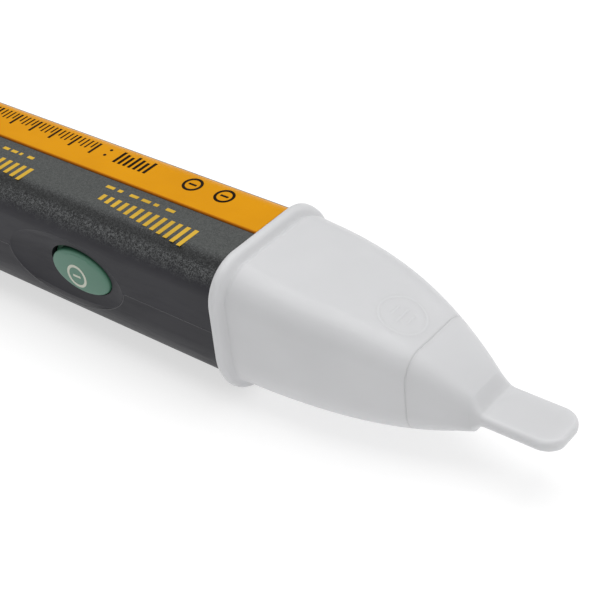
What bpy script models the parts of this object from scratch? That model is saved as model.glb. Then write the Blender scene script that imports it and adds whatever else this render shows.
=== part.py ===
"""Pen type non contact voltage tester, as the separate pieces it comes apart into on a bench.

Units are metres, +Z is up, and +X runs along the tester towards the probe.
The origin is the middle of the flat foot under the collar ring, one of the two
places the tester lies on. The push button is on the -Y side and the pocket
clip on the +Y side.
"""

import math

import bmesh
import bpy
import numpy as np
from mathutils import Matrix, Vector

MM = 0.001

# ------------------------------------------------------------------ dimensions, in millimetres
REAR_X = -97.1          # rear end of the battery cap
TIP_X = 50.9            # end of the flat probe
CAP_FRONT_X = -88.3     # where the battery cap meets the housing
COLLAR_BACK_X = -1.5

# A section is half width, bottom z, top z, top corner radius, bottom corner radius.
COLLAR = (12.88, 0.3, 26.38, 6.67, 10.85)
CAP = (12.5, 0.0, 26.16, 6.2, 10.65)
BODY = (11.2, 1.4, 24.9, 4.9, 9.35)
# The collar's bead, from its back face to the crease with the nose: x, and how far in from COLLAR.
BEAD = ((-1.5, 1.45), (-1.3, 0.8), (-1.0, 0.3), (-0.65, 0.03), (-0.3, 0.0), (0.3, 0.06), (0.9, 0.2), (1.5, 0.46),
        (2.0, 0.8), (2.4, 1.12), (2.62, 1.3))
BEAD_PEAK_X, BEAD_PINCH, BEAD_PINCH_Z = -0.6, 0.78, 9.0    # the bead narrows below this height
FOOT = (1.2, 2.2)       # half length and half width of the flat foot under the collar
PART_Z = 13.95          # height of the parting line between the two housings
PART_GAP = 0.12
WALL = 1.5
SPIGOT_INSET = 1.9      # housing spigot inside the nose
SPIGOT_BORE = 3.1
SPIGOT_FRONT_X = 6.0

# Nose and probe sections along X.
NOSE_STATIONS = (
    (1.5, (11.55, 1.4, 25.3, 5.4, 10.0)),
    (10.5, (11.5, 1.9, 24.2, 5.0, 10.2)),
    (29.4, (7.5, 5.0, 19.4, 3.7, 5.6)),
    (37.6, (4.4, 8.4, 14.4, 2.2, 1.6)),
)
SEAM_X = 29.35          # seam between nose cone and probe tip
BLOCK_END_X = 37.6      # upper edge of the sloped shoulder
SPATULA_X = 39.8        # where the flat probe leaves the shoulder
SPATULA = (4.25, 10.2, 12.15)    # half width, bottom, top
SPATULA_CORNER = 3.75
BLOCK_REACH = 0.45      # how much further forward the block's underside runs than its top

DISH_C, DISH_R, DISH_DEPTH = (-32.7, 14.0), (12.6, 6.25), 0.75
BUTTON_C, BUTTON_R = (-29.05, 14.55), (6.2, 3.75)
BUTTON_GAP = 0.2
BUTTON_FACE_Y = -11.3
BUTTON_TRAVEL = 0.8

STRIP_NEAR_Y, STRIP_ARC = 0.12, 28.0    # near edge, and degrees that it wraps over the far corner
STRIP_PROUD, STRIP_SUNK = 0.3, 0.7
STRIP_X = (-86.0, -1.75)

CELL_R, CELL_LEN = 5.2, 43.6
CELL_NUB_R, CELL_NUB_LEN = 1.8, 0.9
CELL_A, CELL_B = (-4.2, 17.9), (3.6, 9.3)   # (y, z) of the two cells
CELL_X = (-83.0, -38.5)
CARRIER_X = (-38.2, -37.2)

PCB_X, PCB_Y, PCB_Z = (-36.8, 4.0), (-3.2, -2.2), (5.4, 21.4)

CLIP_BEAD = (-76.3, 12.9)
CLIP_BEAD_R, CLIP_GROOVE_R = 1.1, 1.28
CLIP_T = 1.1
CLIP_Z = (9.95, 17.95)
SCREW_Y = 4.5           # case screws, off centre beside the circuit board
SCREW_X = (-9.0, -34.2)


# ------------------------------------------------------------------ scene, materials
for old in list(bpy.data.objects):
    bpy.data.objects.remove(old, do_unlink=True)

parts = bpy.data.collections.new("non_contact_voltage_tester")
cutters = bpy.data.collections.new("cutters")
bpy.context.scene.collection.children.link(parts)
bpy.context.scene.collection.children.link(cutters)
cutters.hide_render = True


def material(name, colour, roughness, metallic=0.0, transmission=0.0):
    mat = bpy.data.materials.new(name)
    mat.use_nodes = True
    shader = mat.node_tree.nodes["Principled BSDF"]
    shader.inputs["Base Color"].default_value = (*colour, 1.0)
    shader.inputs["Roughness"].default_value = roughness
    shader.inputs["Metallic"].default_value = metallic
    shader.inputs["Transmission Weight"].default_value = transmission
    mat.diffuse_color = (*colour, 1.0)
    return mat


GREY = material("grey_abs", (0.095, 0.10, 0.10), 0.6)
DARK = material("dark_abs", (0.055, 0.055, 0.06), 0.45)
YELLOW = material("yellow_abs", (0.80, 0.36, 0.012), 0.35)
WHITE = material("white_polycarbonate", (0.76, 0.76, 0.78), 0.3)
GREEN = material("green_button", (0.10, 0.24, 0.18), 0.5)
SILICONE = material("silicone", (0.72, 0.72, 0.70), 0.6)
BOARD = material("circuit_board_green", (0.02, 0.16, 0.06), 0.4)
STEEL = material("steel", (0.55, 0.55, 0.56), 0.3, 1.0)
BRASS = material("nickelled_brass", (0.72, 0.62, 0.38), 0.3, 1.0)
BLACK = material("black_plastic", (0.02, 0.02, 0.022), 0.35)
LENS = material("red_lens", (0.65, 0.02, 0.02), 0.15, 0.0, 0.3)
CLEAR = material("clear_acrylic", (0.85, 0.86, 0.88), 0.1, 0.0, 0.6)
LABEL = material("cell_label", (0.10, 0.16, 0.30), 0.35)
COPPER = material("copper", (0.75, 0.35, 0.18), 0.3, 1.0)
RED_WIRE = material("red_insulation", (0.50, 0.02, 0.02), 0.4)
BLACK_WIRE = material("black_insulation", (0.02, 0.02, 0.02), 0.4)
RUBBER = material("black_rubber", (0.03, 0.03, 0.03), 0.7)


# ------------------------------------------------------------------ helpers
def finish(obj, mat, angle=30.0):
    """Gives a piece its material and shading."""
    obj.data.materials.clear()
    obj.data.materials.append(mat)
    obj.data.shade_smooth()
    obj.data.set_sharp_from_angle(angle=math.radians(angle))
    return obj


def from_bmesh(name, bm, collection=parts):
    bmesh.ops.recalc_face_normals(bm, faces=bm.faces)
    mesh = bpy.data.meshes.new(name)
    bm.to_mesh(mesh)
    bm.free()
    obj = bpy.data.objects.new(name, mesh)
    collection.objects.link(obj)
    return obj


def baked(obj):
    """Replaces the object's mesh with its evaluated one, in place."""
    graph = bpy.context.evaluated_depsgraph_get()
    mesh = bpy.data.meshes.new_from_object(obj.evaluated_get(graph))
    mesh.name = obj.name
    obj.modifiers.clear()
    obj.data = mesh
    return obj


def combine(target, other, operation):
    """target = target (operation) other. The other object was only a tool, so it goes."""
    cutters.objects.link(other)
    parts.objects.unlink(other)
    other.hide_render = True
    other.display_type = "WIRE"
    tool = target.modifiers.new(operation.lower(), "BOOLEAN")
    tool.operation = operation
    tool.object = other
    baked(target)
    bpy.data.objects.remove(other, do_unlink=True)
    return target


def cut(target, *others):
    for other in others:
        combine(target, other, "DIFFERENCE")
    return target


def join(target, *others):
    for other in others:
        combine(target, other, "UNION")
    return target


# The curve's own X, Y, Z laid along the tester's axes.
ALONG_X = Matrix(((0, 0, 1, 0), (1, 0, 0, 0), (0, 1, 0, 0), (0, 0, 0, 1)))     # outline in Y, Z
ALONG_Y = Matrix(((1, 0, 0, 0), (0, 0, -1, 0), (0, 1, 0, 0), (0, 0, 0, 1)))    # outline in X, Z
ALONG_Z = Matrix.Identity(4)                                                   # outline in X, Y


def prism(name, outlines, low, high, frame):
    """A flat outline, with holes where further outlines are given, extruded from low to high."""
    curve = bpy.data.curves.new(name, "CURVE")
    curve.dimensions = "2D"
    curve.fill_mode = "BOTH"
    curve.extrude = (high - low) / 2 * MM
    for points in outlines:
        spline = curve.splines.new("POLY")
        spline.points.add(len(points) - 1)
        for point, (u, v) in zip(spline.points, points):
            point.co = (u * MM, v * MM, 0.0, 1.0)
        spline.use_cyclic_u = True
    drawn = bpy.data.objects.new(name + "_outline", curve)
    parts.objects.link(drawn)
    graph = bpy.context.evaluated_depsgraph_get()
    mesh = bpy.data.meshes.new_from_object(drawn.evaluated_get(graph))
    bpy.data.objects.remove(drawn, do_unlink=True)
    middle = (low + high) / 2 * MM
    if frame is ALONG_Y:
        middle = -middle
    bm = bmesh.new()
    bm.from_mesh(mesh)
    bmesh.ops.remove_doubles(bm, verts=bm.verts, dist=1e-6)
    bmesh.ops.transform(bm, matrix=frame @ Matrix.Translation((0, 0, middle)), verts=bm.verts)
    return from_bmesh(name, bm)


def box(name, x, y, z, bevel=0.0):
    bm = bmesh.new()
    bmesh.ops.create_cube(bm, size=1.0)
    size = Vector((x[1] - x[0], y[1] - y[0], z[1] - z[0])) * MM
    centre = Vector((x[0] + x[1], y[0] + y[1], z[0] + z[1])) * MM / 2
    bmesh.ops.transform(bm, matrix=Matrix.Translation(centre) @ Matrix.Diagonal((*size, 1.0)), verts=bm.verts)
    if bevel:
        bmesh.ops.bevel(bm, geom=bm.edges[:], offset=bevel * MM, segments=1, affect="EDGES", profile=0.5)
    return from_bmesh(name, bm)


def turned(name, profile, centre, axis, steps=24):
    """A turned piece. The profile is (radius, height) from the top of its outer side to the bottom."""
    mesh = bpy.data.meshes.new(name)
    points = [(r * MM, 0.0, h * MM) for r, h in profile]
    mesh.from_pydata(points, [(i, i + 1) for i in range(len(points) - 1)], [])
    obj = bpy.data.objects.new(name, mesh)
    parts.objects.link(obj)
    screw = obj.modifiers.new("turn", "SCREW")
    screw.axis = "Z"
    screw.steps = screw.render_steps = steps
    screw.use_merge_vertices = True
    screw.merge_threshold = 1e-6
    baked(obj)
    turn = Vector((0, 0, 1)).rotation_difference(Vector(axis)).to_matrix().to_4x4()
    obj.data.transform(Matrix.Translation(Vector(centre) * MM) @ turn)
    bm = bmesh.new()
    bm.from_mesh(obj.data)
    bmesh.ops.remove_doubles(bm, verts=bm.verts, dist=1e-6)
    bmesh.ops.recalc_face_normals(bm, faces=bm.faces)
    bm.to_mesh(obj.data)
    bm.free()
    return obj


def rod(name, radius, start, end, steps=20):
    """A plain round bar between two points."""
    a, b = Vector(start), Vector(end)
    length = (b - a).length
    return turned(name, [(0, length), (radius, length), (radius, 0), (0, 0)], start, (b - a).normalized(), steps)


def tube_along(name, points, radius, resolution=2):
    """A wire of round section through the points, with its ends closed."""
    curve = bpy.data.curves.new(name, "CURVE")
    curve.dimensions = "3D"
    curve.bevel_depth = radius * MM
    curve.bevel_resolution = resolution
    curve.use_fill_caps = True
    spline = curve.splines.new("POLY")
    spline.points.add(len(points) - 1)
    for point, co in zip(spline.points, points):
        point.co = (co[0] * MM, co[1] * MM, co[2] * MM, 1.0)
    drawn = bpy.data.objects.new(name + "_path", curve)
    parts.objects.link(drawn)
    graph = bpy.context.evaluated_depsgraph_get()
    mesh = bpy.data.meshes.new_from_object(drawn.evaluated_get(graph))
    bpy.data.objects.remove(drawn, do_unlink=True)
    bm = bmesh.new()
    bm.from_mesh(mesh)
    bmesh.ops.remove_doubles(bm, verts=bm.verts, dist=1e-6)
    return from_bmesh(name, bm)


def arc(cu, cv, radius, start, end, count):
    angles = np.radians(np.linspace(start, end, count + 1))
    return [(cu + radius * math.cos(a), cv + radius * math.sin(a)) for a in angles]


def section(shape, inset=0.0, count=7):
    """Outline in (y, z) of a rounded section whose top and bottom corners differ."""
    half, low, high, top_r, low_r = shape
    half, low, high = half - inset, low + inset, high - inset
    top_r, low_r = (max(r - inset, 0.35 if inset else 0.0) for r in (top_r, low_r))
    return (
        arc(half - top_r, high - top_r, top_r, 0, 90, count)
        + arc(-half + top_r, high - top_r, top_r, 90, 180, count)
        + arc(-half + low_r, low + low_r, low_r, 180, 270, count)
        + arc(half - low_r, low + low_r, low_r, 270, 360, count)
    )


def loft(name, stations):
    """A skin through outlines of equal count: stations are (x, [(y, z), ...]), where x may be a function of z."""
    bm = bmesh.new()
    rings = [
        [bm.verts.new(((x(z) if callable(x) else x) * MM, y * MM, z * MM)) for y, z in outline]
        for x, outline in stations
    ]
    for first, second in zip(rings, rings[1:]):
        for i in range(len(first)):
            j = (i + 1) % len(first)
            bm.faces.new((first[i], first[j], second[j], second[i]))
    bm.faces.new(rings[0])
    bm.faces.new(rings[-1])
    bmesh.ops.remove_doubles(bm, verts=bm.verts, dist=1e-7)
    return from_bmesh(name, bm)


def ellipse(centre, radii, count=40, power=2.0):
    points = []
    for k in range(count):
        a = 2 * math.pi * k / count
        c, s = math.cos(a), math.sin(a)
        points.append((
            centre[0] + radii[0] * math.copysign(abs(c) ** (2 / power), c),
            centre[1] + radii[1] * math.copysign(abs(s) ** (2 / power), s),
        ))
    return points


def nose_shape(x):
    """The nose's section at x: a cubic through the four stations."""
    knots = [s[0] for s in NOSE_STATIONS]
    total = np.zeros(5)
    for i, (xi, shape) in enumerate(NOSE_STATIONS):
        weight = 1.0
        for j, xj in enumerate(knots):
            if i != j:
                weight *= (x - xj) / (xi - xj)
        total += weight * np.array(shape)
    return tuple(total)


def edge_round(base, radius, steps):
    """(distance along, inset) pairs that round an outer edge, from the face inwards."""
    return [
        (radius * (1 - math.cos(a)) + base, radius * (1 - math.sin(a)))
        for a in np.radians(np.linspace(0, 90, steps + 1))
    ]


def pivot_at(obj, point):
    """Moves the object's origin to the point without moving its shape."""
    p = Vector(point) * MM
    obj.data.transform(Matrix.Translation(-p))
    obj.location = p
    return obj


# ------------------------------------------------------------------ housings
def housing_shell(name):
    shell = prism(name, [section(BODY)], CAP_FRONT_X + 0.12, COLLAR_BACK_X - 0.12, ALONG_X)
    join(shell, prism("spigot", [section(BODY, SPIGOT_INSET)], COLLAR_BACK_X - 2.0, SPIGOT_FRONT_X, ALONG_X))
    cut(
        shell,
        prism("hollow", [section(BODY, WALL)], CAP_FRONT_X - 5, -5.0, ALONG_X),
        prism("bore", [section(BODY, SPIGOT_BORE)], -6.0, SPIGOT_FRONT_X + 3, ALONG_X),
    )
    return shell


def strip_outline(grow_out, grow_in, side):
    """Section of the accent strip: over the flat top and part of the way round the far corner."""
    half, _, high, radius, _ = BODY
    cy, cz = half - radius, high - radius
    end = 90 - STRIP_ARC - side * 2.0
    outer = []
    for k in range(9):
        # The strip runs out flush with the housing at its far edge.
        out = radius + grow_out * (1.0 if side else 1 - 0.85 * (k / 8) ** 2)
        a = math.radians(90 + (end - 90) * k / 8)
        outer.append((cy + out * math.cos(a), cz + out * math.sin(a)))
    inner = arc(cy, cz, radius - grow_in, end, 90, 8)
    near = STRIP_NEAR_Y - side
    r = 0.28 if side == 0 else 0.0
    if r:
        rounded = arc(near + r, high + grow_out - r, r, 180, 90, 3)
    else:
        rounded = [(near, high + grow_out)]
    return rounded + outer + inner + [(near, high - grow_in)]


upper = housing_shell("upper_housing")
lower = housing_shell("lower_housing")

below = box("below", (-110, 20), (-20, 20), (-5, PART_Z + PART_GAP / 2))
cut(below, prism("tongue", [ellipse(DISH_C, DISH_R)], -20, -8, ALONG_Y))
cut(upper, below)
cut(
    lower,
    box("above", (-110, 20), (-20, 20), (PART_Z - PART_GAP / 2, 40)),
    prism("tongue_room", [ellipse(DISH_C, (DISH_R[0] + PART_GAP, DISH_R[1] + PART_GAP))], -20, -8, ALONG_Y),
)

# Thumb dish with the button's opening, in the upper housing's tongue.
bm = bmesh.new()
bmesh.ops.create_uvsphere(bm, u_segments=32, v_segments=12, radius=1.0)
bmesh.ops.transform(
    bm,
    matrix=Matrix.Translation(Vector((DISH_C[0], -BODY[0], DISH_C[1])) * MM)
    @ Matrix.Diagonal(((DISH_R[0] - 0.25) * MM, DISH_DEPTH * MM, (DISH_R[1] - 0.25) * MM, 1.0))
    @ Matrix.Rotation(math.pi / 2, 4, "X"),
    verts=bm.verts,
)
cut(upper, from_bmesh("dish", bm))
cut(upper, prism("button_hole", [ellipse(BUTTON_C, (BUTTON_R[0] + BUTTON_GAP, BUTTON_R[1] + BUTTON_GAP))], -14, -7, ALONG_Y))

# Recess for the strip, open towards the top.
cut(upper, prism("strip_recess", [strip_outline(1.0, STRIP_SUNK + 0.1, 0.1)], STRIP_X[0] - 0.1, 5.0, ALONG_X))
join(upper, prism("spigot_top", [section(BODY, SPIGOT_INSET)[0:16] + section(BODY, SPIGOT_BORE)[0:16][::-1]],
                  COLLAR_BACK_X - 2.6, SPIGOT_FRONT_X - 0.5, ALONG_X))

# Screw posts: a post from each housing, with the screw passing through the lower one.
for x in SCREW_X:
    post = rod("post_low", 2.4, (x, SCREW_Y, 2.6), (x, SCREW_Y, PART_Z - PART_GAP / 2))
    join(lower, post)
    post = rod("post_high", 2.4, (x, SCREW_Y, PART_Z + PART_GAP / 2), (x, SCREW_Y, 23.9))
    join(upper, post)
    cut(upper, rod("pilot", 0.95, (x, SCREW_Y, PART_Z - 2), (x, SCREW_Y, PART_Z + 5.5), 16))
    cut(
        lower,
        rod("clearance", 1.15, (x, SCREW_Y, 1.0), (x, SCREW_Y, PART_Z + 2), 16),
        rod("counterbore", 2.0, (x, SCREW_Y, -1.0), (x, SCREW_Y, 4.2), 20),
    )

# Pilot holes for the clip bracket's two screws.
BRACKET_SCREWS = ((-81.2, 11.0), (-81.2, 16.9))
for target, (x, z) in ((lower, BRACKET_SCREWS[0]), (upper, BRACKET_SCREWS[1])):
    cut(target, rod("side_pilot", 0.85, (x, 8.5, z), (x, 12.5, z), 14))

finish(upper, GREY)
finish(lower, DARK)

strip = prism("accent_strip", [strip_outline(STRIP_PROUD, STRIP_SUNK, 0.0)], STRIP_X[0], STRIP_X[1], ALONG_X)
finish(strip, YELLOW)

# ------------------------------------------------------------------ nose cone and probe tip
def pinched(x):
    """x of a ring round the bead as a function of height: the bead's front draws back towards the bottom."""
    reach = max(x - BEAD_PEAK_X, 0.0)
    if x > BEAD[-1][0]:
        past = x - BEAD[-1][0]
        reach = (BEAD[-1][0] - BEAD_PEAK_X) * max(1.0 - past / 4.0, 0.0)
    return lambda z: x - reach * BEAD_PINCH * min(max((BEAD_PINCH_Z - z) / BEAD_PINCH_Z, 0.0), 1.0) ** 1.2


collar_rings = [(pinched(x), section(COLLAR, inset)) for x, inset in BEAD]
nose_x = [2.8, 4.2, 5.8, 8.0, 11.0, 14.5, 18.0, 21.5, 25.0, SEAM_X]
nose_rings = [(pinched(x), section(nose_shape(x))) for x in nose_x]
nose = loft("nose_cone", collar_rings + nose_rings)
join(nose, box("foot", (-FOOT[0], FOOT[0]), (-FOOT[1], FOOT[1]), (0.0, 2.2), 0.15))
cut(nose, loft("nose_hollow", [
    (x, section(nose_shape(max(x, 1.5)), 1.5)) for x in (-3.0, 1.5, 5.5, 9.0, 13.0, 17.0, 21.0, 25.0, 30.5)
]))
finish(nose, WHITE, 40)

gasket = prism(
    "nose_gasket",
    [section(BODY, SPIGOT_INSET - 0.22), section(BODY, SPIGOT_INSET - 0.05)],
    2.2, 3.6, ALONG_X,
)
finish(gasket, RUBBER)


def spatula_section(x):
    """Section of the flat probe, narrowing round its end."""
    half, low, high = SPATULA
    middle, thick = (low + high) / 2, (high - low) / 2
    into = x - (TIP_X - SPATULA_CORNER)
    if into > 0:
        half = half - SPATULA_CORNER + math.sqrt(max(SPATULA_CORNER ** 2 - into ** 2, 0.0004))
    edge = 1.0
    near_end = x - (TIP_X - edge)
    if near_end > 0:
        thick *= math.sqrt(max(1 - (near_end / edge) ** 2, 0.004))
    radius = min(thick * 0.97, 1.0)
    return (half, middle - thick, middle + thick, radius, radius)


def between(a, b, t):
    return tuple(p + (q - p) * t for p, q in zip(a, b))


def reaching(x, share):
    """x of a ring near the block's end: its underside runs further forward than its top."""
    middle = (SPATULA[1] + SPATULA[2]) / 2
    return lambda z: x + BLOCK_REACH * share * min(max((middle - z) / 2.5, 0.0), 1.0)


block = nose_shape(BLOCK_END_X)
tip_rings = [(x, section(nose_shape(x))) for x in (SEAM_X + 0.12, 31.0, 33.0, 35.0)]
tip_rings += [(reaching(x, share), section(nose_shape(x))) for x, share in ((36.5, 0.5), (BLOCK_END_X, 1.0))]
for x, share in ((38.2, 0.62), (38.8, 0.27), (39.3, 0.08)):
    tip_rings.append((reaching(x, share), section(between(spatula_section(x), block, share))))
end_steps = (4.0, 3.2, 2.5, 1.9, 1.4, 1.0, 0.65, 0.4, 0.2, 0.07, 0.0)
tip_rings += [(x, section(spatula_section(x))) for x in [SPATULA_X, 43.5] + [TIP_X - d for d in end_steps]]
tip = loft("probe_tip", tip_rings)
join(tip, loft("tip_spigot", [(x, section(nose_shape(x), 1.62)) for x in (25.6, 27.5, 29.4, 31.0)]))
cut(
    tip,
    loft("tip_hollow", [(x, section(nose_shape(x), 2.8)) for x in (24.0, 27.0, 29.4, 32.0, 34.4)]),
    box("antenna_slot", (33.0, 49.2), (-2.5, 2.5), (10.9, 11.75)),
)
finish(tip, WHITE, 40)

# ------------------------------------------------------------------ push button and switch
def button_loft(name, rings, count=36):
    """Stacked ellipses along Y: rings are (y, inset)."""
    bm = bmesh.new()
    loops = []
    for y, inset in rings:
        outline = ellipse(BUTTON_C, (BUTTON_R[0] - inset, BUTTON_R[1] - inset), count)
        loops.append([bm.verts.new((u * MM, y * MM, v * MM)) for u, v in outline])
    for first, second in zip(loops, loops[1:]):
        for i in range(count):
            j = (i + 1) % count
            bm.faces.new((first[i], first[j], second[j], second[i]))
    bm.faces.new(loops[0])
    bm.faces.new(loops[-1])
    return from_bmesh(name, bm)


face = BUTTON_FACE_Y
button = button_loft("power_button", [
    (face - 0.22, 2.6), (face - 0.12, 1.5), (face + 0.04, 0.6), (face + 0.25, 0.18), (face + 0.6, 0.0),
    (-9.35, 0.0), (-9.35, -0.75), (-8.55, -0.75),
])
pivot_at(button, (BUTTON_C[0], BUTTON_FACE_Y, BUTTON_C[1]))
finish(button, GREEN)

pad = turned("button_pad", [
    (0, 0.9), (1.9, 0.9), (2.6, 0.45), (4.2, 0.4), (4.2, 0.0), (1.7, 0.0), (1.2, 0.3), (0, 0.3),
], (BUTTON_C[0], -7.42, BUTTON_C[1]), (0, -1, 0), 24)
finish(pad, SILICONE)

switch = box("switch_base", (BUTTON_C[0] - 3.0, BUTTON_C[0] + 3.0), (-6.6, PCB_Y[0] - 0.05), (BUTTON_C[1] - 3.0, BUTTON_C[1] + 3.0), 0.2)
cut(switch, rod("plunger_well", 1.65, (BUTTON_C[0], -5.6, BUTTON_C[1]), (BUTTON_C[0], -7.5, BUTTON_C[1])))
finish(switch, BLACK)
plunger = rod("switch_plunger", 1.5, (BUTTON_C[0], -6.0, BUTTON_C[1]), (BUTTON_C[0], -7.25, BUTTON_C[1]))
pivot_at(plunger, (BUTTON_C[0], -6.0, BUTTON_C[1]))
finish(plunger, RED_WIRE)

# ------------------------------------------------------------------ electronics
board = box("circuit_board", PCB_X, PCB_Y, PCB_Z)
cut(board, rod("board_hole_rear", 1.1, (-34.0, -5, 7.6), (-34.0, 0, 7.6), 16),
    rod("board_hole_front", 1.1, (0.8, -5, 19.2), (0.8, 0, 19.2), 16))
finish(board, BOARD)

lamp = turned("led_lamp", [
    (0, 8.6), (0.9, 8.5), (1.7, 8.0), (2.25, 7.2), (2.5, 6.1), (2.5, 1.0), (2.9, 1.0), (2.9, 0.0), (0, 0.0),
], (4.4, -1.2, 13.2), (1, 0, 0), 24)
finish(lamp, LENS)

guide = turned("light_guide", [
    (0, 11.0), (1.9, 11.0), (2.2, 10.6), (3.4, 1.2), (3.6, 0.0), (3.0, 0.0), (2.6, 0.8), (0, 0.8),
], (13.6, -1.2, 13.2), (1, 0, 0), 24)
finish(guide, CLEAR)

buzzer = turned("buzzer_case", [
    (0, 4.4), (1.0, 4.4), (1.0, 3.8), (1.6, 3.8), (1.6, 4.4), (5.6, 4.4), (6.0, 4.0), (6.0, 0.0), (0, 0.0),
], (-22.0, PCB_Y[1] + 0.05, 13.4), (0, 1, 0), 28)
finish(buzzer, BLACK)

chip = box("controller_chip", (-14.5, -8.5), (-4.75, PCB_Y[0] - 0.05), (10.0, 15.0), 0.15)
finish(chip, BLACK)

capacitor = turned("filter_capacitor", [
    (0, 6.8), (1.9, 6.8), (2.1, 6.6), (2.1, 1.2), (1.9, 1.0), (2.1, 0.8), (2.1, 0.0), (0, 0.0),
], (-14.0, PCB_Y[1] + 0.05, 17.6), (0, 1, 0), 20)
finish(capacitor, STEEL)

resistor = turned("sense_resistor", [
    (0, 6.0), (0.8, 6.0), (1.0, 5.6), (1.0, 4.8), (0.8, 4.4), (0.8, 1.6), (1.0, 1.2), (1.0, 0.4), (0.8, 0.0), (0, 0.0),
], (-5.0, PCB_Y[1] + 1.1, 9.0), (1, 0, 0), 16)
finish(resistor, BRASS)

antenna = box("sensor_antenna", (34.2, 48.6), (-2.1, 2.1), (11.1, 11.5))
finish(antenna, COPPER)


def smooth_path(points, count):
    """Points along a Catmull-Rom curve through the given points."""
    pts = [Vector(p) for p in points]
    pts = [pts[0] * 2 - pts[1]] + pts + [pts[-1] * 2 - pts[-2]]
    spans = len(pts) - 3
    found = []
    for k in range(count):
        s = k / (count - 1) * spans
        i = min(int(s), spans - 1)
        t = s - i
        a, b, c, d = pts[i:i + 4]
        found.append(0.5 * (2 * b + (c - a) * t + (2 * a - 5 * b + 4 * c - d) * t ** 2 + (3 * b - 3 * c + d - a) * t ** 3))
    return found


antenna_wire = tube_along("antenna_lead", smooth_path(
    [(3.2, -1.55, 18.6), (8, -0.6, 18.9), (16, 1.6, 18.3), (24, 2.2, 15.6), (30, 0.9, 12.9), (33.9, 0, 11.35)], 20), 0.4)
finish(antenna_wire, RED_WIRE)

positive = tube_along("positive_lead", smooth_path(
    [(-36.6, -4.6, 20.2), (-34.5, -4.9, 20.3), (-31.5, -4.4, 20.4), (-29.5, -3.8, 20.4)], 12), 0.45)
finish(positive, RED_WIRE)
negative = tube_along("negative_lead", smooth_path(
    [(-36.6, 1.6, 9.3), (-33.0, 0.9, 8.7), (-29.0, -0.6, 8.2), (-26.5, -1.65, 7.9)], 12), 0.45)
finish(negative, BLACK_WIRE)

# ------------------------------------------------------------------ cells, carrier, contacts
def cell(name, centre, forward):
    y, z = centre
    profile = [
        (0, CELL_LEN + CELL_NUB_LEN), (CELL_NUB_R, CELL_LEN + CELL_NUB_LEN), (CELL_NUB_R, CELL_LEN),
        (CELL_R - 0.5, CELL_LEN), (CELL_R, CELL_LEN - 0.5), (CELL_R, 0.4), (CELL_R - 0.4, 0.0), (0, 0.0),
    ]
    if forward:
        return turned(name, profile, (CELL_X[0], y, z), (1, 0, 0), 28)
    return turned(name, profile, (CELL_X[1] - 0.9, y, z), (-1, 0, 0), 28)


finish(cell("battery_cell_upper", CELL_A, True), LABEL)
finish(cell("battery_cell_lower", CELL_B, False), LABEL)

carrier = prism("cell_carrier", [section(BODY, WALL + 0.25)], CARRIER_X[0], CARRIER_X[1], ALONG_X)
a, b = Vector(CELL_A), Vector(CELL_B)
direction = math.atan2(b.y - a.y, b.x - a.x)
rib = box("rib", (-76.0, CARRIER_X[1]), (-0.35, 0.35), (-6.0, 6.0))
rib.data.transform(Matrix.Translation(Vector((0, (a.x + b.x) / 2, (a.y + b.y) / 2)) * MM) @ Matrix.Rotation(direction, 4, "X"))
join(carrier, rib)
cut(
    carrier,
    rod("window_a", 1.2, (-40, CELL_A[0], CELL_A[1] + 2.3), (-35, CELL_A[0], CELL_A[1] + 2.3), 14),
    rod("window_b", 1.2, (-40, CELL_B[0] - 2.0, CELL_B[1]), (-35, CELL_B[0] - 2.0, CELL_B[1]), 14),
)
finish(carrier, BLACK)

def coil(name, start, axis_sign, length, radius_from, radius_to, wire, turns=3.25, per_turn=11):
    x, y, z = start
    count = int(turns * per_turn)
    points = []
    for k in range(count + 1):
        t = k / count
        r = radius_from + (radius_to - radius_from) * t
        angle = 2 * math.pi * turns * t
        points.append((x + axis_sign * length * t, y + r * math.cos(angle), z + r * math.sin(angle)))
    return tube_along(name, points, wire, 1)


# The forward cell's nub touches a flat tab; the other cell's flat end sits on a coil.
front_plate = box("front_contact_plate", (-38.35, -38.23), (CELL_A[0] - 2.6, CELL_A[0] + 2.6), (CELL_A[1] - 2.6, CELL_A[1] + 1.0))
finish(front_plate, STEEL)
front_spring = coil("front_contact_spring", (-38.45, CELL_B[0], CELL_B[1]), -1, 0.72, 3.2, 1.6, 0.12, 2.25)
finish(front_spring, STEEL)

# ------------------------------------------------------------------ battery cap
cap_rings = [(REAR_X + d, section(CAP, inset)) for d, inset in edge_round(0.0, 2.0, 5)]
cap_rings += [(CAP_FRONT_X - d, section(CAP, inset)) for d, inset in reversed(edge_round(0.0, 0.8, 4))]
cap = loft("battery_cap", cap_rings)
join(cap, prism("cap_spigot", [section(BODY, WALL + 0.2)], CAP_FRONT_X - 2.0, -83.9, ALONG_X))
cut(
    cap,
    prism("cap_hollow", [section(BODY, WALL + 1.5)], REAR_X + 2.0, -80.0, ALONG_X),
    prism("seal_groove", [section(BODY, WALL - 1.0), section(BODY, WALL + 0.75)], -87.0, -85.6, ALONG_X),
)
for side in (-1, 1):
    for k in range(4):
        x = -94.0 + 1.35 * k
        cut(cap, box("grip", (x, x + 0.6), (side * 12.5 - 0.35, side * 12.5 + 0.35), (9.0, 19.0)))
for centre in (CELL_A, CELL_B):
    # Posts that back the bridge contact, between the two cells' axes.
    u = Vector(centre) * 0.55 + (Vector(CELL_A) + Vector(CELL_B)) * 0.225
    join(cap, rod("bridge_post", 1.4, (REAR_X + 1.0, u.x, u.y), (-84.65, u.x, u.y), 16))
pivot_at(cap, (CAP_FRONT_X, 0, PART_Z))
finish(cap, DARK)

seal = prism("cap_seal", [section(BODY, WALL + 0.06), section(BODY, WALL + 0.6)], -86.9, -85.7, ALONG_X)
pivot_at(seal, (CAP_FRONT_X, 0, PART_Z))
finish(seal, RUBBER)

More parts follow.
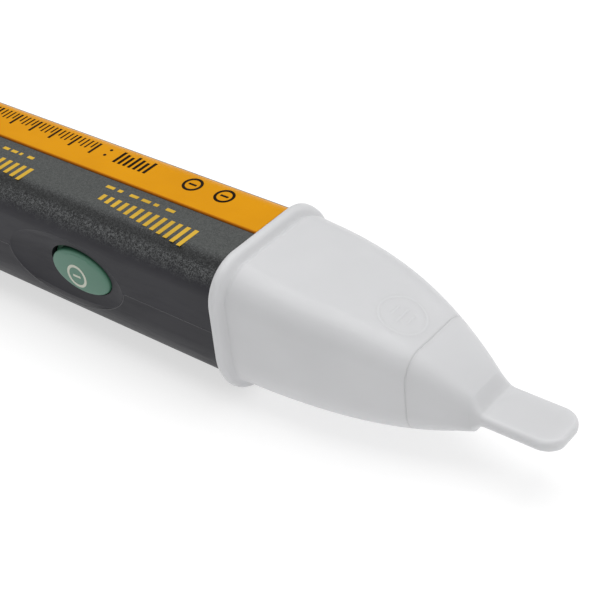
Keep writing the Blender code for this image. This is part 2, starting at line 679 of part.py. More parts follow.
# Bridge across both cells, held on two posts inside the cap.
bridge = box("bridge_contact", (-84.45, -84.1), (-7.0, 7.0), (-2.4, 2.4))
bridge.data.transform(Matrix.Translation(Vector((0, (a.x + b.x) / 2, (a.y + b.y) / 2)) * MM) @ Matrix.Rotation(direction, 4, "X"))
pivot_at(bridge, (CAP_FRONT_X, 0, PART_Z))
finish(bridge, STEEL)
bridge_spring = coil("bridge_spring", (-83.9, CELL_A[0], CELL_A[1]), 1, 0.6, 3.2, 1.8, 0.12, 2.25)
pivot_at(bridge_spring, (CAP_FRONT_X, 0, PART_Z))
finish(bridge_spring, STEEL)

# ------------------------------------------------------------------ pocket clip
bx, by = CLIP_BEAD
bracket = box("clip_bracket", (-84.6, -75.5), (BODY[0] + 0.15, 15.0), (9.2, 18.7), 0.5)
cut(bracket, rod("groove", CLIP_GROOVE_R, (bx, by, 5), (bx, by, 25), 28))
for x, z in BRACKET_SCREWS:
    cut(
        bracket,
        rod("hole", 0.95, (x, 10, z), (x, 16, z), 14),
        rod("head_room", 1.75, (x, 13.3, z), (x, 16, z), 20),
    )
finish(bracket, BLACK)


def strip_between(path, thickness):
    """Outline of a bent strip: the path offset by half the thickness to each side."""
    pts = [Vector(p) for p in path]
    left, right = [], []
    for i, p in enumerate(pts):
        before = pts[max(i - 1, 0)]
        after = pts[min(i + 1, len(pts) - 1)]
        d = (after - before).normalized()
        n = Vector((-d.y, d.x))
        left.append(tuple(p + n * thickness / 2))
        right.append(tuple(p - n * thickness / 2))
    return left + right[::-1]


arm_path = [(bx + 0.3, by), (bx + 1.3, by + 0.15), (-72.0, 13.25), (-55.0, 13.25), (-50.5, 13.05), (-47.5, 12.45),
            (-46.0, 12.05), (-44.8, 11.95), (-43.6, 12.15), (-42.2, 12.75), (-41.2, 13.35)]
clip = prism("pocket_clip", [strip_between(arm_path, CLIP_T)], CLIP_Z[0], CLIP_Z[1], ALONG_Z)
join(clip, rod("bead", CLIP_BEAD_R, (bx, by, CLIP_Z[0] + 0.02), (bx, by, CLIP_Z[1] - 0.02), 24))
pivot_at(clip, (bx, by, (CLIP_Z[0] + CLIP_Z[1]) / 2))
finish(clip, BLACK)

for n, (x, z) in enumerate(BRACKET_SCREWS, 1):
    screw = turned(f"clip_screw_{n}", [
        (0, 4.6), (0.55, 4.6), (0.55, 4.1), (1.2, 4.6), (1.5, 4.3), (1.5, 3.6), (0.7, 3.6), (0.7, 0.2), (0.4, 0.0), (0, 0.0),
    ], (x, 10.0, z), (0, 1, 0), 18)
    finish(screw, STEEL)

# ------------------------------------------------------------------ case screws
for n, x in enumerate(SCREW_X, 1):
    screw = turned(f"case_screw_{n}", [
        (0, 13.6), (0.5, 13.4), (0.8, 12.9), (0.8, 1.6), (1.8, 1.6), (1.8, 0.5), (1.4, 0.0), (0.6, 0.0), (0.6, 0.7), (0, 0.7),
    ], (x, SCREW_Y, 2.5), (0, 0, 1), 18)
    finish(screw, STEEL)
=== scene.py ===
"""Looks of the non contact voltage tester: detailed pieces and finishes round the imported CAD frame.

Lengths in the helpers are millimetres in the row frame: +X runs to the probe, +Z up, the button on -Y.
"""

import math

import bmesh
import bpy
import numpy as np
from mathutils import Matrix, Vector


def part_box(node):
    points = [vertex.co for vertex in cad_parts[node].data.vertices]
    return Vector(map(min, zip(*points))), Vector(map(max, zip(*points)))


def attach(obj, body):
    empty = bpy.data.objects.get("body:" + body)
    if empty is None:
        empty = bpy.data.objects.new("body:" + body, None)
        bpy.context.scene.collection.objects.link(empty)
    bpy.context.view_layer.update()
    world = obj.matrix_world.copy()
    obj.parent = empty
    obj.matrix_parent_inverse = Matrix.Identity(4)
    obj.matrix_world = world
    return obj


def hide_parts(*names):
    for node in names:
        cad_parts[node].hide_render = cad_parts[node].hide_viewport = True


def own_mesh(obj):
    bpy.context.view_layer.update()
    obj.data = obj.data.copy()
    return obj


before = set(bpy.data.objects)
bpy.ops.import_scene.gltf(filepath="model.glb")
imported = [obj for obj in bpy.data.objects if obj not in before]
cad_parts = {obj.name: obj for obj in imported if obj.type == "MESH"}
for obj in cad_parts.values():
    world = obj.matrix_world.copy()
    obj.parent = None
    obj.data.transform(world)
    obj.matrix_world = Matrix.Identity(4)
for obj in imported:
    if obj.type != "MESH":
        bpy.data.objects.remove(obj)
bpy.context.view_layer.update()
MM = 0.001


def lo_hi(node):
    low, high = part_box(node)
    return np.array(low) / MM, np.array(high) / MM


# ------------------------------------------------------------------ sizes, from the CAD nodes
cap_lo, cap_hi = lo_hi("battery_cap")
house_lo, house_hi = lo_hi("upper_housing")
tip_lo, tip_hi = lo_hi("probe_tip")
nose_lo, nose_hi = lo_hi("nose_cone")
strip_lo, strip_hi = lo_hi("accent_strip")
button_lo, button_hi = lo_hi("power_button")
REAR_X, TIP_X = cap_lo[0], tip_hi[0]
HOUSE_X0 = house_lo[0]
COLLAR_BACK_X = nose_lo[0]
HOUSE_X1 = COLLAR_BACK_X - 0.12
COLLAR = (nose_hi[1], 0.3, nose_hi[2], 6.67, 10.85)
CAP = (cap_hi[1], cap_lo[2], cap_hi[2], 6.2, 10.65)
BODY = (11.2, 1.4, 24.9, 4.9, 9.35)
PART_Z, WALL = 13.95, 1.5
NOSE_STATIONS = (
    (1.5, (11.55, 1.4, 25.3, 5.4, 10.0)),
    (10.5, (11.5, 1.9, 24.2, 5.0, 10.2)),
    (29.4, (7.5, 5.0, 19.4, 3.7, 5.6)),
    (37.6, (4.4, 8.4, 14.4, 2.2, 1.6)),
)
# The collar ring: a rounded ridge, then a soft valley that runs out into the nose.
BEAD = ((-1.5, 1.45), (-1.2, 0.9), (-0.85, 0.38), (-0.55, 0.1), (-0.25, 0.03), (0.05, 0.05), (0.4, 0.17), (0.75, 0.46),
        (1.02, 0.86), (1.25, 1.14), (1.5, 1.31), (1.8, 1.31), (2.2, 1.27), (2.62, 1.26))
SEAM_X, BLOCK_END_X, SPATULA_X = 29.35, 37.6, 39.8
SPATULA, SPATULA_CORNER, BLOCK_REACH = (4.25, 10.2, 12.15), 3.2, 0.45
DISH_C, DISH_R, DISH_DEPTH = (-32.7, 14.0), (12.6, 6.25), 0.75
BUTTON_C, BUTTON_R = ((button_lo[0] + button_hi[0]) / 2, (button_lo[2] + button_hi[2]) / 2), (6.2, 3.75)
SCREW_Y, SCREW_X = 4.5, (-9.0, -34.2)
BRACKET_SCREWS = ((-81.2, 11.0), (-81.2, 16.9))
CELL_A, CELL_B = (-4.2, 17.9), (3.6, 9.3)


# ------------------------------------------------------------------ materials
def new_material(name):
    mat = bpy.data.materials.new(name)
    mat.use_nodes = True
    tree = mat.node_tree
    return mat, tree, tree.nodes["Principled BSDF"]


class Graph:
    """Short names for the node types that the finishes are made of."""

    def __init__(self, tree):
        self.tree = tree
        self.coord = tree.nodes.new("ShaderNodeTexCoord").outputs["Object"]

    def link(self, a, b):
        self.tree.links.new(a, b)

    def noise(self, scale, detail=2.0, rough=0.5, distortion=0.0, coord=None, dims="3D"):
        n = self.tree.nodes.new("ShaderNodeTexNoise")
        n.noise_dimensions = dims
        n.inputs["Scale"].default_value = scale
        n.inputs["Detail"].default_value = detail
        n.inputs["Roughness"].default_value = rough
        n.inputs["Distortion"].default_value = distortion
        self.link(coord or self.coord, n.inputs["Vector"])
        return n.outputs["Fac"]

    def voronoi(self, scale, feature="F1", coord=None, randomness=1.0):
        n = self.tree.nodes.new("ShaderNodeTexVoronoi")
        n.feature = feature
        n.inputs["Scale"].default_value = scale
        n.inputs["Randomness"].default_value = randomness
        self.link(coord or self.coord, n.inputs["Vector"])
        return n.outputs["Distance"]

    def stretch(self, x, y, z):
        n = self.tree.nodes.new("ShaderNodeMapping")
        n.inputs["Scale"].default_value = (x, y, z)
        self.link(self.coord, n.inputs["Vector"])
        return n.outputs["Vector"]

    def axis(self, which):
        n = self.tree.nodes.new("ShaderNodeSeparateXYZ")
        self.link(self.coord, n.inputs[0])
        return n.outputs[which]

    def math(self, op, a, b=0.0, c=0.0):
        n = self.tree.nodes.new("ShaderNodeMath")
        n.operation = op
        for i, v in enumerate((a, b, c)):
            if isinstance(v, (int, float)):
                n.inputs[i].default_value = v
            else:
                self.link(v, n.inputs[i])
        return n.outputs[0]

    def ramp(self, fac, low, high, to_low=0.0, to_high=1.0, smooth=True):
        n = self.tree.nodes.new("ShaderNodeMapRange")
        n.interpolation_type = "SMOOTHSTEP" if smooth else "LINEAR"
        n.inputs["From Min"].default_value = low
        n.inputs["From Max"].default_value = high
        n.inputs["To Min"].default_value = to_low
        n.inputs["To Max"].default_value = to_high
        self.link(fac, n.inputs["Value"])
        return n.outputs["Result"]

    def mix(self, fac, a, b):
        n = self.tree.nodes.new("ShaderNodeMix")
        n.data_type = "RGBA"
        if isinstance(fac, (int, float)):
            n.inputs["Factor"].default_value = fac
        else:
            self.link(fac, n.inputs["Factor"])
        for name, v in (("A", a), ("B", b)):
            socket = [s for s in n.inputs if s.name == name and s.type == "RGBA"][0]
            if isinstance(v, tuple):
                socket.default_value = (*v, 1.0)
            else:
                self.link(v, socket)
        return [s for s in n.outputs if s.type == "RGBA"][0]

    def bump(self, height, distance, strength=1.0, normal=None):
        n = self.tree.nodes.new("ShaderNodeBump")
        n.inputs["Distance"].default_value = distance
        if isinstance(strength, (int, float)):
            n.inputs["Strength"].default_value = strength
        else:
            self.link(strength, n.inputs["Strength"])
        self.link(height, n.inputs["Height"])
        if normal is not None:
            self.link(normal, n.inputs["Normal"])
        return n.outputs["Normal"]


def moulded(name, colour, roughness, grain=0.00002, specks=0.06, scratches=0.35, warm=None, metallic=0.0, coat=0.0,
            specular=0.5, grain_scale=4200.0):
    """A moulded or plated part: slight mottling, fine grain, faint scuffs that change the gloss."""
    mat, tree, shader = new_material(name)
    g = Graph(tree)
    cloud = g.noise(160.0, 3.0, 0.55)
    fine = g.noise(grain_scale, 2.0, 0.6)
    scuff = g.noise(900.0, 4.0, 0.7, 0.6, g.stretch(0.18, 1.0, 1.0))
    dark = tuple(c * (1 - specks) for c in colour)
    light = tuple(min(c * (1 + specks) + 0.002, 1.0) for c in (warm or colour))
    base = g.mix(g.ramp(cloud, 0.35, 0.65), dark, light)
    g.link(base, shader.inputs["Base Color"])
    r = g.ramp(scuff, 0.42, 0.72, roughness - 0.05, roughness + 0.13 * scratches + 0.03)
    g.link(r, shader.inputs["Roughness"])
    shader.inputs["Metallic"].default_value = metallic
    shader.inputs["Specular IOR Level"].default_value = specular
    if coat:
        shader.inputs["Coat Weight"].default_value = coat
        shader.inputs["Coat Roughness"].default_value = 0.15
    normal = g.bump(fine, grain, 0.6)
    normal = g.bump(scuff, 0.00001, 0.35 * scratches, normal)
    g.link(normal, shader.inputs["Normal"])
    mat.diffuse_color = (*colour, 1.0)
    return mat


def housing_material(name, colour, textured):
    """Satin dark plastic whose top is spark eroded; the texture is deepest on the near corner and fades out below it."""
    mat, tree, shader = new_material(name)
    g = Graph(tree)
    cloud = g.noise(140.0, 3.0, 0.5)
    fine = g.noise(6500.0, 2.0, 0.6)
    scuff = g.noise(700.0, 4.0, 0.7, 0.5, g.stretch(0.15, 1.0, 1.0))
    base = g.mix(g.ramp(cloud, 0.3, 0.7), tuple(c * 0.93 for c in colour), tuple(c * 1.07 for c in colour))
    # Painted shade: the underside is darkened towards the bottom.
    base = g.mix(g.ramp(g.axis(2), 0.002, 0.011, 0.45, 0.0), base, tuple(c * 0.45 for c in colour))
    rough = g.ramp(scuff, 0.4, 0.75, 0.44, 0.54)
    normal = g.bump(fine, 0.00002, 0.45)
    if textured:
        along = g.stretch(1.5, 0.9, 0.9)
        spark = g.noise(6000.0, 1.5, 0.6, 0.2, along)
        patch = g.noise(2400.0, 2.0, 0.6)
        pits = g.voronoi(5200.0, "F1", along)
        height = g.math("ADD", g.math("MULTIPLY", spark, 0.8), g.math("MULTIPLY", pits, 0.35))
        edge = g.math("ADD", g.axis(2), g.math("MULTIPLY", g.math("SUBTRACT", g.noise(700.0, 2.0), 0.5), 0.0012))
        mask = g.ramp(edge, 0.0212, 0.0236)
        # Level part: a dark grey with a quiet, leathery grain.
        grain = g.math("ADD", g.math("MULTIPLY", spark, 0.65), g.math("MULTIPLY", patch, 0.35))
        level = g.mix(g.ramp(grain, 0.38, 0.62), (0.052, 0.056, 0.055), (0.088, 0.093, 0.090))
        # Corner: painted reflections in the grain: dark pits with painted glints of the overhead lamp between them, and
        # a painted dark band, the darkest just where the top turns down.
        glint_mask = g.ramp(grain, 0.42, 0.64)
        corner = g.mix(glint_mask, (0.018, 0.019, 0.020), (0.130, 0.134, 0.135))
        turn = g.ramp(g.axis(1), -0.0060, -0.0080, 0.0, 1.0)
        shade = g.math("MULTIPLY", g.ramp(g.axis(1), -0.0062, -0.0082, 0.0, 1.0), g.ramp(g.axis(1), -0.0084, -0.0097, 1.0, 0.0))
        corner = g.mix(g.math("MULTIPLY", shade, 0.68), corner, (0.013, 0.014, 0.014))
        textured_col = g.mix(turn, level, corner)
        base = g.mix(mask, base, textured_col)
        rough = g.math("ADD", g.math("MULTIPLY", mask, 0.05), rough)
        deep = g.math("ADD", g.math("MULTIPLY", turn, 0.4), 0.6)
        normal = g.bump(height, 0.00012, g.math("MULTIPLY", mask, deep), normal)
    normal = g.bump(scuff, 0.000012, 0.12, normal)
    g.link(base, shader.inputs["Base Color"])
    g.link(rough, shader.inputs["Roughness"])
    g.link(normal, shader.inputs["Normal"])
    shader.inputs["Specular IOR Level"].default_value = 0.22
    mat.diffuse_color = (*colour, 1.0)
    return mat


GREY = housing_material("grey_spark_eroded", (0.0205, 0.0200, 0.0255), True)
DARK = housing_material("dark_satin", (0.0195, 0.0190, 0.0240), False)


def strip_material():
    mat, tree, shader = new_material("yellow_gloss")
    g = Graph(tree)
    cloud = g.noise(120.0, 3.0, 0.5)
    fine = g.noise(3600.0, 2.0, 0.6)
    scuff = g.noise(800.0, 4.0, 0.7, 0.5, g.stretch(0.12, 1.0, 1.0))
    base = g.mix(g.ramp(cloud, 0.3, 0.7), (0.648, 0.272, 0.001), (0.682, 0.291, 0.001))
    # Painted shade: the moulding is darkened to a deeper orange where it turns down at its near long edge.
    edge = g.ramp(g.axis(1), 0.00014, 0.00055, 1.0, 0.0)
    base = g.mix(edge, base, (0.40, 0.115, 0.002))
    g.link(base, shader.inputs["Base Color"])
    g.link(g.ramp(scuff, 0.4, 0.75, 0.34, 0.48), shader.inputs["Roughness"])
    g.link(g.bump(fine, 0.00002, 0.6, g.bump(scuff, 0.00001, 0.2)), shader.inputs["Normal"])
    shader.inputs["Specular IOR Level"].default_value = 0.08
    mat.diffuse_color = (0.72, 0.32, 0.01, 1.0)
    return mat


def nose_material(name, depth=0.35):
    mat, tree, shader = new_material(name)
    g = Graph(tree)
    cloud = g.noise(70.0, 2.0, 0.5)
    fine = g.noise(5200.0, 2.0, 0.6)
    scuff = g.noise(650.0, 4.0, 0.7, 0.5, g.stretch(0.2, 1.0, 1.0))
    base = g.mix(g.ramp(cloud, 0.3, 0.7), (0.590, 0.593, 0.604), (0.618, 0.620, 0.631))
    # Painted shade: the lower part of the nose is darkened towards the bottom.
    base = g.mix(g.ramp(g.axis(2), 0.002, 0.0135, 0.24, 0.0), base, (0.40, 0.40, 0.42))
    g.link(base, shader.inputs["Base Color"])
    g.link(g.ramp(scuff, 0.4, 0.75, 0.38, 0.48), shader.inputs["Roughness"])
    g.link(g.bump(fine, 0.000012, 0.5, g.bump(scuff, 0.000008, 0.15)), shader.inputs["Normal"])
    shader.inputs["Subsurface Weight"].default_value = depth
    shader.inputs["Subsurface Radius"].default_value = (1.0, 1.0, 1.0)
    shader.inputs["Subsurface Scale"].default_value = 0.0016
    shader.inputs["Specular IOR Level"].default_value = 0.45
    mat.diffuse_color = (0.63, 0.63, 0.64, 1.0)
    return mat


def button_material():
    mat, tree, shader = new_material("green_button")
    g = Graph(tree)
    cloud = g.noise(500.0, 3.0, 0.5)
    fine = g.noise(5200.0, 2.0, 0.6)
    # Painted shade: the rim and the sides, down in the opening, are painted a deeper green, and the face is painted
    # darker towards its front and top.
    depth = g.ramp(g.axis(1), -0.01126, -0.01094)
    shade_drift = g.ramp(g.math("ADD", g.axis(0), g.axis(2)), -0.020, -0.008, 0.0, 0.45)
    face = g.mix(g.ramp(cloud, 0.3, 0.7), (0.098, 0.212, 0.158), (0.110, 0.228, 0.170))
    face = g.mix(shade_drift, face, (0.060, 0.165, 0.110))
    base = g.mix(depth, face, (0.030, 0.125, 0.072))
    g.link(base, shader.inputs["Base Color"])
    g.link(g.ramp(cloud, 0.3, 0.7, 0.46, 0.58), shader.inputs["Roughness"])
    g.link(g.bump(fine, 0.000015, 0.6), shader.inputs["Normal"])
    shader.inputs["Specular IOR Level"].default_value = 0.4
    mat.diffuse_color = (0.10, 0.24, 0.18, 1.0)
    return mat


# Painted highlight: the parting rib is coloured a paler grey than the housing so that it reads as a light line.
PARTING_HIGHLIGHT = moulded("parting_line_highlight", (0.095, 0.095, 0.100), 0.5, 0.00001, specular=0.3)
YELLOW = strip_material()
WHITE = nose_material("white_satin")
WHITE_MARK = nose_material("white_mark", 0.0)
GREEN = button_material()
BLACK_INK = moulded("black_ink", (0.013, 0.006, 0.002), 0.6, 0.00001, 0.2, specular=0.06)
YELLOW_INK = moulded("yellow_ink", (0.60, 0.37, 0.03), 0.5, 0.00001, 0.08, specular=0.2)
PALE_INK = moulded("pale_ink", (0.50, 0.52, 0.44), 0.5, 0.00001, 0.08, specular=0.3)
CAP_MAT = moulded("dark_cap", (0.0205, 0.0200, 0.0250), 0.46, 0.00003, specular=0.22)
CLIP_MAT = moulded("black_clip", (0.020, 0.020, 0.022), 0.36, 0.00002)
RUBBER = moulded("black_rubber", (0.018, 0.018, 0.018), 0.75, 0.00003, 0.1, specular=0.3)
SILICONE = moulded("silicone", (0.60, 0.60, 0.57), 0.55, 0.00002)
BLACK = moulded("black_plastic", (0.020, 0.020, 0.022), 0.4)
RED_PLASTIC = moulded("red_plastic", (0.35, 0.02, 0.018), 0.4)
SLEEVE = moulded("cell_sleeve", (0.055, 0.10, 0.21), 0.3, 0.00001, coat=0.3)
SLEEVE_BAND = moulded("cell_sleeve_band", (0.50, 0.50, 0.52), 0.28, 0.00001, coat=0.3)
RED_WIRE = moulded("red_insulation", (0.42, 0.015, 0.012), 0.38)
BLACK_WIRE = moulded("black_insulation", (0.015, 0.015, 0.016), 0.38)
BEIGE = moulded("resistor_lacquer", (0.45, 0.34, 0.20), 0.4)


def metal(name, colour, roughness, brushed=True):
    mat, tree, shader = new_material(name)
    g = Graph(tree)
    lines = g.noise(5000.0, 3.0, 0.6, 0.0, g.stretch(0.06, 1.0, 1.0) if brushed else None)
    cloud = g.noise(420.0, 3.0, 0.55)
    g.link(g.mix(g.ramp(cloud, 0.3, 0.7), tuple(c * 0.86 for c in colour), colour), shader.inputs["Base Color"])
    g.link(g.ramp(lines, 0.3, 0.7, roughness - 0.07, roughness + 0.1), shader.inputs["Roughness"])
    g.link(g.bump(lines, 0.000012, 0.4), shader.inputs["Normal"])
    shader.inputs["Metallic"].default_value = 1.0
    mat.diffuse_color = (*colour, 1.0)
    return mat


STEEL = metal("zinc_steel", (0.56, 0.56, 0.57), 0.30)
NICKEL = metal("nickel_contact", (0.66, 0.62, 0.54), 0.26)
COPPER = metal("copper_foil", (0.72, 0.36, 0.20), 0.3)


def board_material():
    mat, tree, shader = new_material("solder_mask")
    g = Graph(tree)
    tracks = g.ramp(g.voronoi(520.0, "DISTANCE_TO_EDGE", g.stretch(1.0, 0.0, 1.6), 0.0), 0.05, 0.09)
    base = g.mix(tracks, (0.030, 0.19, 0.075), (0.012, 0.10, 0.035))
    g.link(g.mix(g.ramp(g.noise(300.0), 0.3, 0.7, 0.0, 0.25), base, (0.01, 0.07, 0.03)), shader.inputs["Base Color"])
    shader.inputs["Roughness"].default_value = 0.3
    g.link(g.bump(tracks, 0.00003, 0.6), shader.inputs["Normal"])
    mat.diffuse_color = (0.02, 0.15, 0.06, 1.0)
    return mat


def lens_material(name, colour, transmission):
    mat, tree, shader = new_material(name)
    g = Graph(tree)
    cloud = g.noise(400.0, 2.0)
    g.link(g.mix(g.ramp(cloud, 0.3, 0.7), tuple(c * 0.9 for c in colour), colour), shader.inputs["Base Color"])
    g.link(g.ramp(cloud, 0.3, 0.7, 0.08, 0.16), shader.inputs["Roughness"])
    g.link(g.bump(g.noise(3000.0), 0.00001, 0.3), shader.inputs["Normal"])
    shader.inputs["Transmission Weight"].default_value = transmission
    mat.diffuse_color = (*colour, 1.0)
    return mat


BOARD = board_material()
RED_LENS = lens_material("red_lens", (0.62, 0.02, 0.015), 0.35)
CLEAR = lens_material("clear_acrylic", (0.86, 0.87, 0.88), 0.7)


# ------------------------------------------------------------------ mesh helpers
def link_mesh(name, verts, faces, mat, sharp=32.0):
    """An object from millimetre points, with clean normals and smooth shading inside the angle."""
    mesh = bpy.data.meshes.new(name)
    mesh.from_pydata([tuple(v) for v in np.asarray(verts, float) * MM], [], faces)
    bm = bmesh.new()
    bm.from_mesh(mesh)
    bmesh.ops.remove_doubles(bm, verts=bm.verts, dist=1e-7)
    bmesh.ops.recalc_face_normals(bm, faces=bm.faces)
    bm.to_mesh(mesh)
    bm.free()
    obj = bpy.data.objects.new(name, mesh)
    bpy.context.scene.collection.objects.link(obj)
    return dress(obj, mat, sharp)


def dress(obj, mat, sharp=32.0):
    obj.data.materials.clear()
    if mat is not None:
        obj.data.materials.append(mat)
    obj.data.shade_smooth()
    obj.data.set_sharp_from_angle(angle=math.radians(sharp))
    return obj


def evaluated(obj):
    graph = bpy.context.evaluated_depsgraph_get()
    mesh = bpy.data.meshes.new_from_object(obj.evaluated_get(graph))
    obj.modifiers.clear()
    obj.data = mesh
    return obj


def boolean(target, tool, operation="DIFFERENCE"):
    mod = target.modifiers.new("op", "BOOLEAN")
    mod.operation = operation
    mod.object = tool
    mod.solver = "EXACT"
    evaluated(target)
    bpy.data.objects.remove(tool, do_unlink=True)
    return target


def cut(target, *tools):
    for tool in tools:
        boolean(target, tool)
    return target


def join(target, *tools):
    for tool in tools:
        boolean(target, tool, "UNION")
    return target


def even_shading(obj):
    """Weights the normals by face size, so that large flats stay flat beside fine roundings."""
    mod = obj.modifiers.new("weighted", "WEIGHTED_NORMAL")
    mod.keep_sharp = True
    mod.weight = 80
    return evaluated(obj)


def soften(obj, width, segments=2, angle=38.0):
    mod = obj.modifiers.new("soften", "BEVEL")
    mod.width = width * MM
    mod.segments = segments
    mod.limit_method = "ANGLE"
    mod.angle_limit = math.radians(angle)
    mod.use_clamp_overlap = True
    mod.harden_normals = False
    return evaluated(obj)


def arc(cu, cv, radius, start, end, count):
    angles = np.radians(np.linspace(start, end, count + 1))
    return [(cu + radius * math.cos(a), cv + radius * math.sin(a)) for a in angles]


def section(shape, inset=0.0, count=20):
    half, low, high, top_r, low_r = shape
    half, low, high = half - inset, low + inset, high - inset
    top_r, low_r = (max(r - inset, 0.35 if inset else 0.0) for r in (top_r, low_r))
    return (
        arc(half - top_r, high - top_r, top_r, 0, 90, count)
        + arc(-half + top_r, high - top_r, top_r, 90, 180, count)
        + arc(-half + low_r, low + low_r, low_r, 180, 270, count)
        + arc(half - low_r, low + low_r, low_r, 270, 360, count)
    )


def rings_to_mesh(name, rings, mat=None, sharp=32.0, closed=False):
    """A skin through rings of (x, y, z) points, with its two ends closed."""
    n = len(rings[0])
    verts = [p for ring in rings for p in ring]
    faces = []
    spans = len(rings) if closed else len(rings) - 1
    for k in range(spans):
        a, b = k * n, ((k + 1) % len(rings)) * n
        for i in range(n):
            j = (i + 1) % n
            faces.append((a + i, a + j, b + j, b + i))
    if not closed:
        faces.append(tuple(range(n)))
        faces.append(tuple(range(len(rings) * n - 1, (len(rings) - 1) * n - 1, -1)))
    return link_mesh(name, verts, faces, mat, sharp)


def loft(name, stations, mat=None, sharp=32.0):
    rings = []
    for x, outline in stations:
        rings.append([((x(y, z) if callable(x) else x), y, z) for y, z in outline])
    return rings_to_mesh(name, rings, mat, sharp)


def prism_x(name, outline, low, high, mat=None):
    return loft(name, [(low, outline), (high, outline)], mat)


def prism_y(name, outline, low, high, mat=None):
    """An outline in (x, z) between two heights along Y."""
    return rings_to_mesh(name, [[(u, low, v) for u, v in outline], [(u, high, v) for u, v in outline]], mat)


def prism_z(name, outline, low, high, mat=None):
    return rings_to_mesh(name, [[(u, v, low) for u, v in outline], [(u, v, high) for u, v in outline]], mat)


def block(name, x, y, z, mat=None):
    return prism_x(name, [(y[0], z[0]), (y[1], z[0]), (y[1], z[1]), (y[0], z[1])], x[0], x[1], mat)


def turned(name, profile, centre, axis, mat=None, steps=56, sharp=32.0):
    """A turned piece: profile is (radius, height) from its top centre to its bottom centre."""
    turn = Vector((0, 0, 1)).rotation_difference(Vector(axis)).to_matrix()
    rings = []
    for r, h in profile:
        ring = []
        for k in range(steps):
            a = 2 * math.pi * k / steps
            p = turn @ Vector((r * math.cos(a), r * math.sin(a), h)) + Vector(centre)
            ring.append(tuple(p))
        rings.append(ring)
    verts, faces, index = [], [], []
    for (r, h), ring in zip(profile, rings):
        if r < 1e-6:
            index.append([len(verts)] * steps)
            verts.append(ring[0])
        else:
            index.append(list(range(len(verts), len(verts) + steps)))
            verts.extend(ring)
    for a, b in zip(index, index[1:]):
        for i in range(steps):
            j = (i + 1) % steps
            face = [a[i], a[j], b[j], b[i]]
            face = [v for k, v in enumerate(face) if v != face[k - 1]]
            if len(face) > 2:
                faces.append(tuple(face))
    return link_mesh(name, verts, faces, mat, sharp)


def rod(name, radius, start, end, mat=None, steps=40):
    a, b = Vector(start), Vector(end)
    length = (b - a).length
    return turned(name, [(0, length), (radius, length), (radius, 0), (0, 0)], start, (b - a).normalized(), mat, steps)


def ellipse(centre, radii, count=96):
    return [
        (centre[0] + radii[0] * math.cos(2 * math.pi * k / count), centre[1] + radii[1] * math.sin(2 * math.pi * k / count))
        for k in range(count)
    ]


def smooth_path(points, count):
    pts = [Vector(p) for p in points]
    pts = [pts[0] * 2 - pts[1]] + pts + [pts[-1] * 2 - pts[-2]]
    spans = len(pts) - 3
    found = []
    for k in range(count):
        s = k / (count - 1) * spans
        i = min(int(s), spans - 1)
        t = s - i
        a, b, c, d = pts[i:i + 4]
        found.append(0.5 * (2 * b + (c - a) * t + (2 * a - 5 * b + 4 * c - d) * t ** 2 + (3 * b - 3 * c + d - a) * t ** 3))
    return found


def tube(name, points, radius, mat, sides=14):
    """A round wire through the points, with domed ends."""
    pts = [Vector(p) for p in points]
    rings = []
    up = Vector((0.13, 0.31, 0.94)).normalized()
    for i, p in enumerate(pts):
        d = (pts[min(i + 1, len(pts) - 1)] - pts[max(i - 1, 0)]).normalized()
        u = (up - d * up.dot(d)).normalized()
        v = d.cross(u)
        up = u
        rings.append([tuple(p + (u * math.cos(a) + v * math.sin(a)) * radius) for a in np.linspace(0, 2 * math.pi, sides, endpoint=False)])
    first = (pts[0] - pts[1]).normalized()
    last = (pts[-1] - pts[-2]).normalized()

    def dome(ring, centre, direction):
        out = []
        for share, far in ((0.86, 0.5), (0.5, 0.86), (0.12, 0.99)):
            out.append([tuple(centre + (Vector(q) - centre) * share + direction * radius * far * 0.6) for q in ring])
        return out

    return rings_to_mesh(name, dome(rings[0], pts[0], first)[::-1] + rings + dome(rings[-1], pts[-1], last), mat, 60)


def sweep(name, path, normals, cross, closed, mat=None):
    """A cross section of (outward, sideways) offsets carried along a path, with -Y as outward."""
    rings = []
    for p, n in zip(path, normals):
        rings.append([tuple(Vector(p) + Vector((0, -1, 0)) * a + Vector(n) * b) for a, b in cross])
    return rings_to_mesh(name, rings, mat, 32, closed)


def nose_shape(x):
    knots = [s[0] for s in NOSE_STATIONS]
    total = np.zeros(5)
    for i, (xi, shape) in enumerate(NOSE_STATIONS):
        weight = 1.0
        for j, xj in enumerate(knots):
            if i != j:
                weight *= (x - xj) / (xi - xj)
        total += weight * np.array(shape)
    return tuple(total)


def hermite(knots, values, at):
    """A smooth curve through the knots that does not overshoot (Fritsch-Carlson)."""
    x, y = np.array(knots, float), np.array(values, float)
    h, d = np.diff(x), np.diff(y) / np.diff(x)
    m = np.zeros(len(x))
    m[0], m[-1] = d[0], d[-1]
    for i in range(1, len(x) - 1):
        if d[i - 1] * d[i] > 0:
            w1, w2 = 2 * h[i] + h[i - 1], h[i] + 2 * h[i - 1]
            m[i] = (w1 + w2) / (w1 / d[i - 1] + w2 / d[i])
    out = []
    for a in np.atleast_1d(at):
        i = int(np.clip(np.searchsorted(x, a) - 1, 0, len(h) - 1))
        t = (a - x[i]) / h[i]
        out.append((2 * t ** 3 - 3 * t ** 2 + 1) * y[i] + (t ** 3 - 2 * t ** 2 + t) * h[i] * m[i]
                   + (-2 * t ** 3 + 3 * t ** 2) * y[i + 1] + (t ** 3 - t ** 2) * h[i] * m[i + 1])
    return np.array(out)


def place(obj, body, slot, *nodes):
    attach(obj, body)
    if nodes:
        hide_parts(*nodes)
    return obj


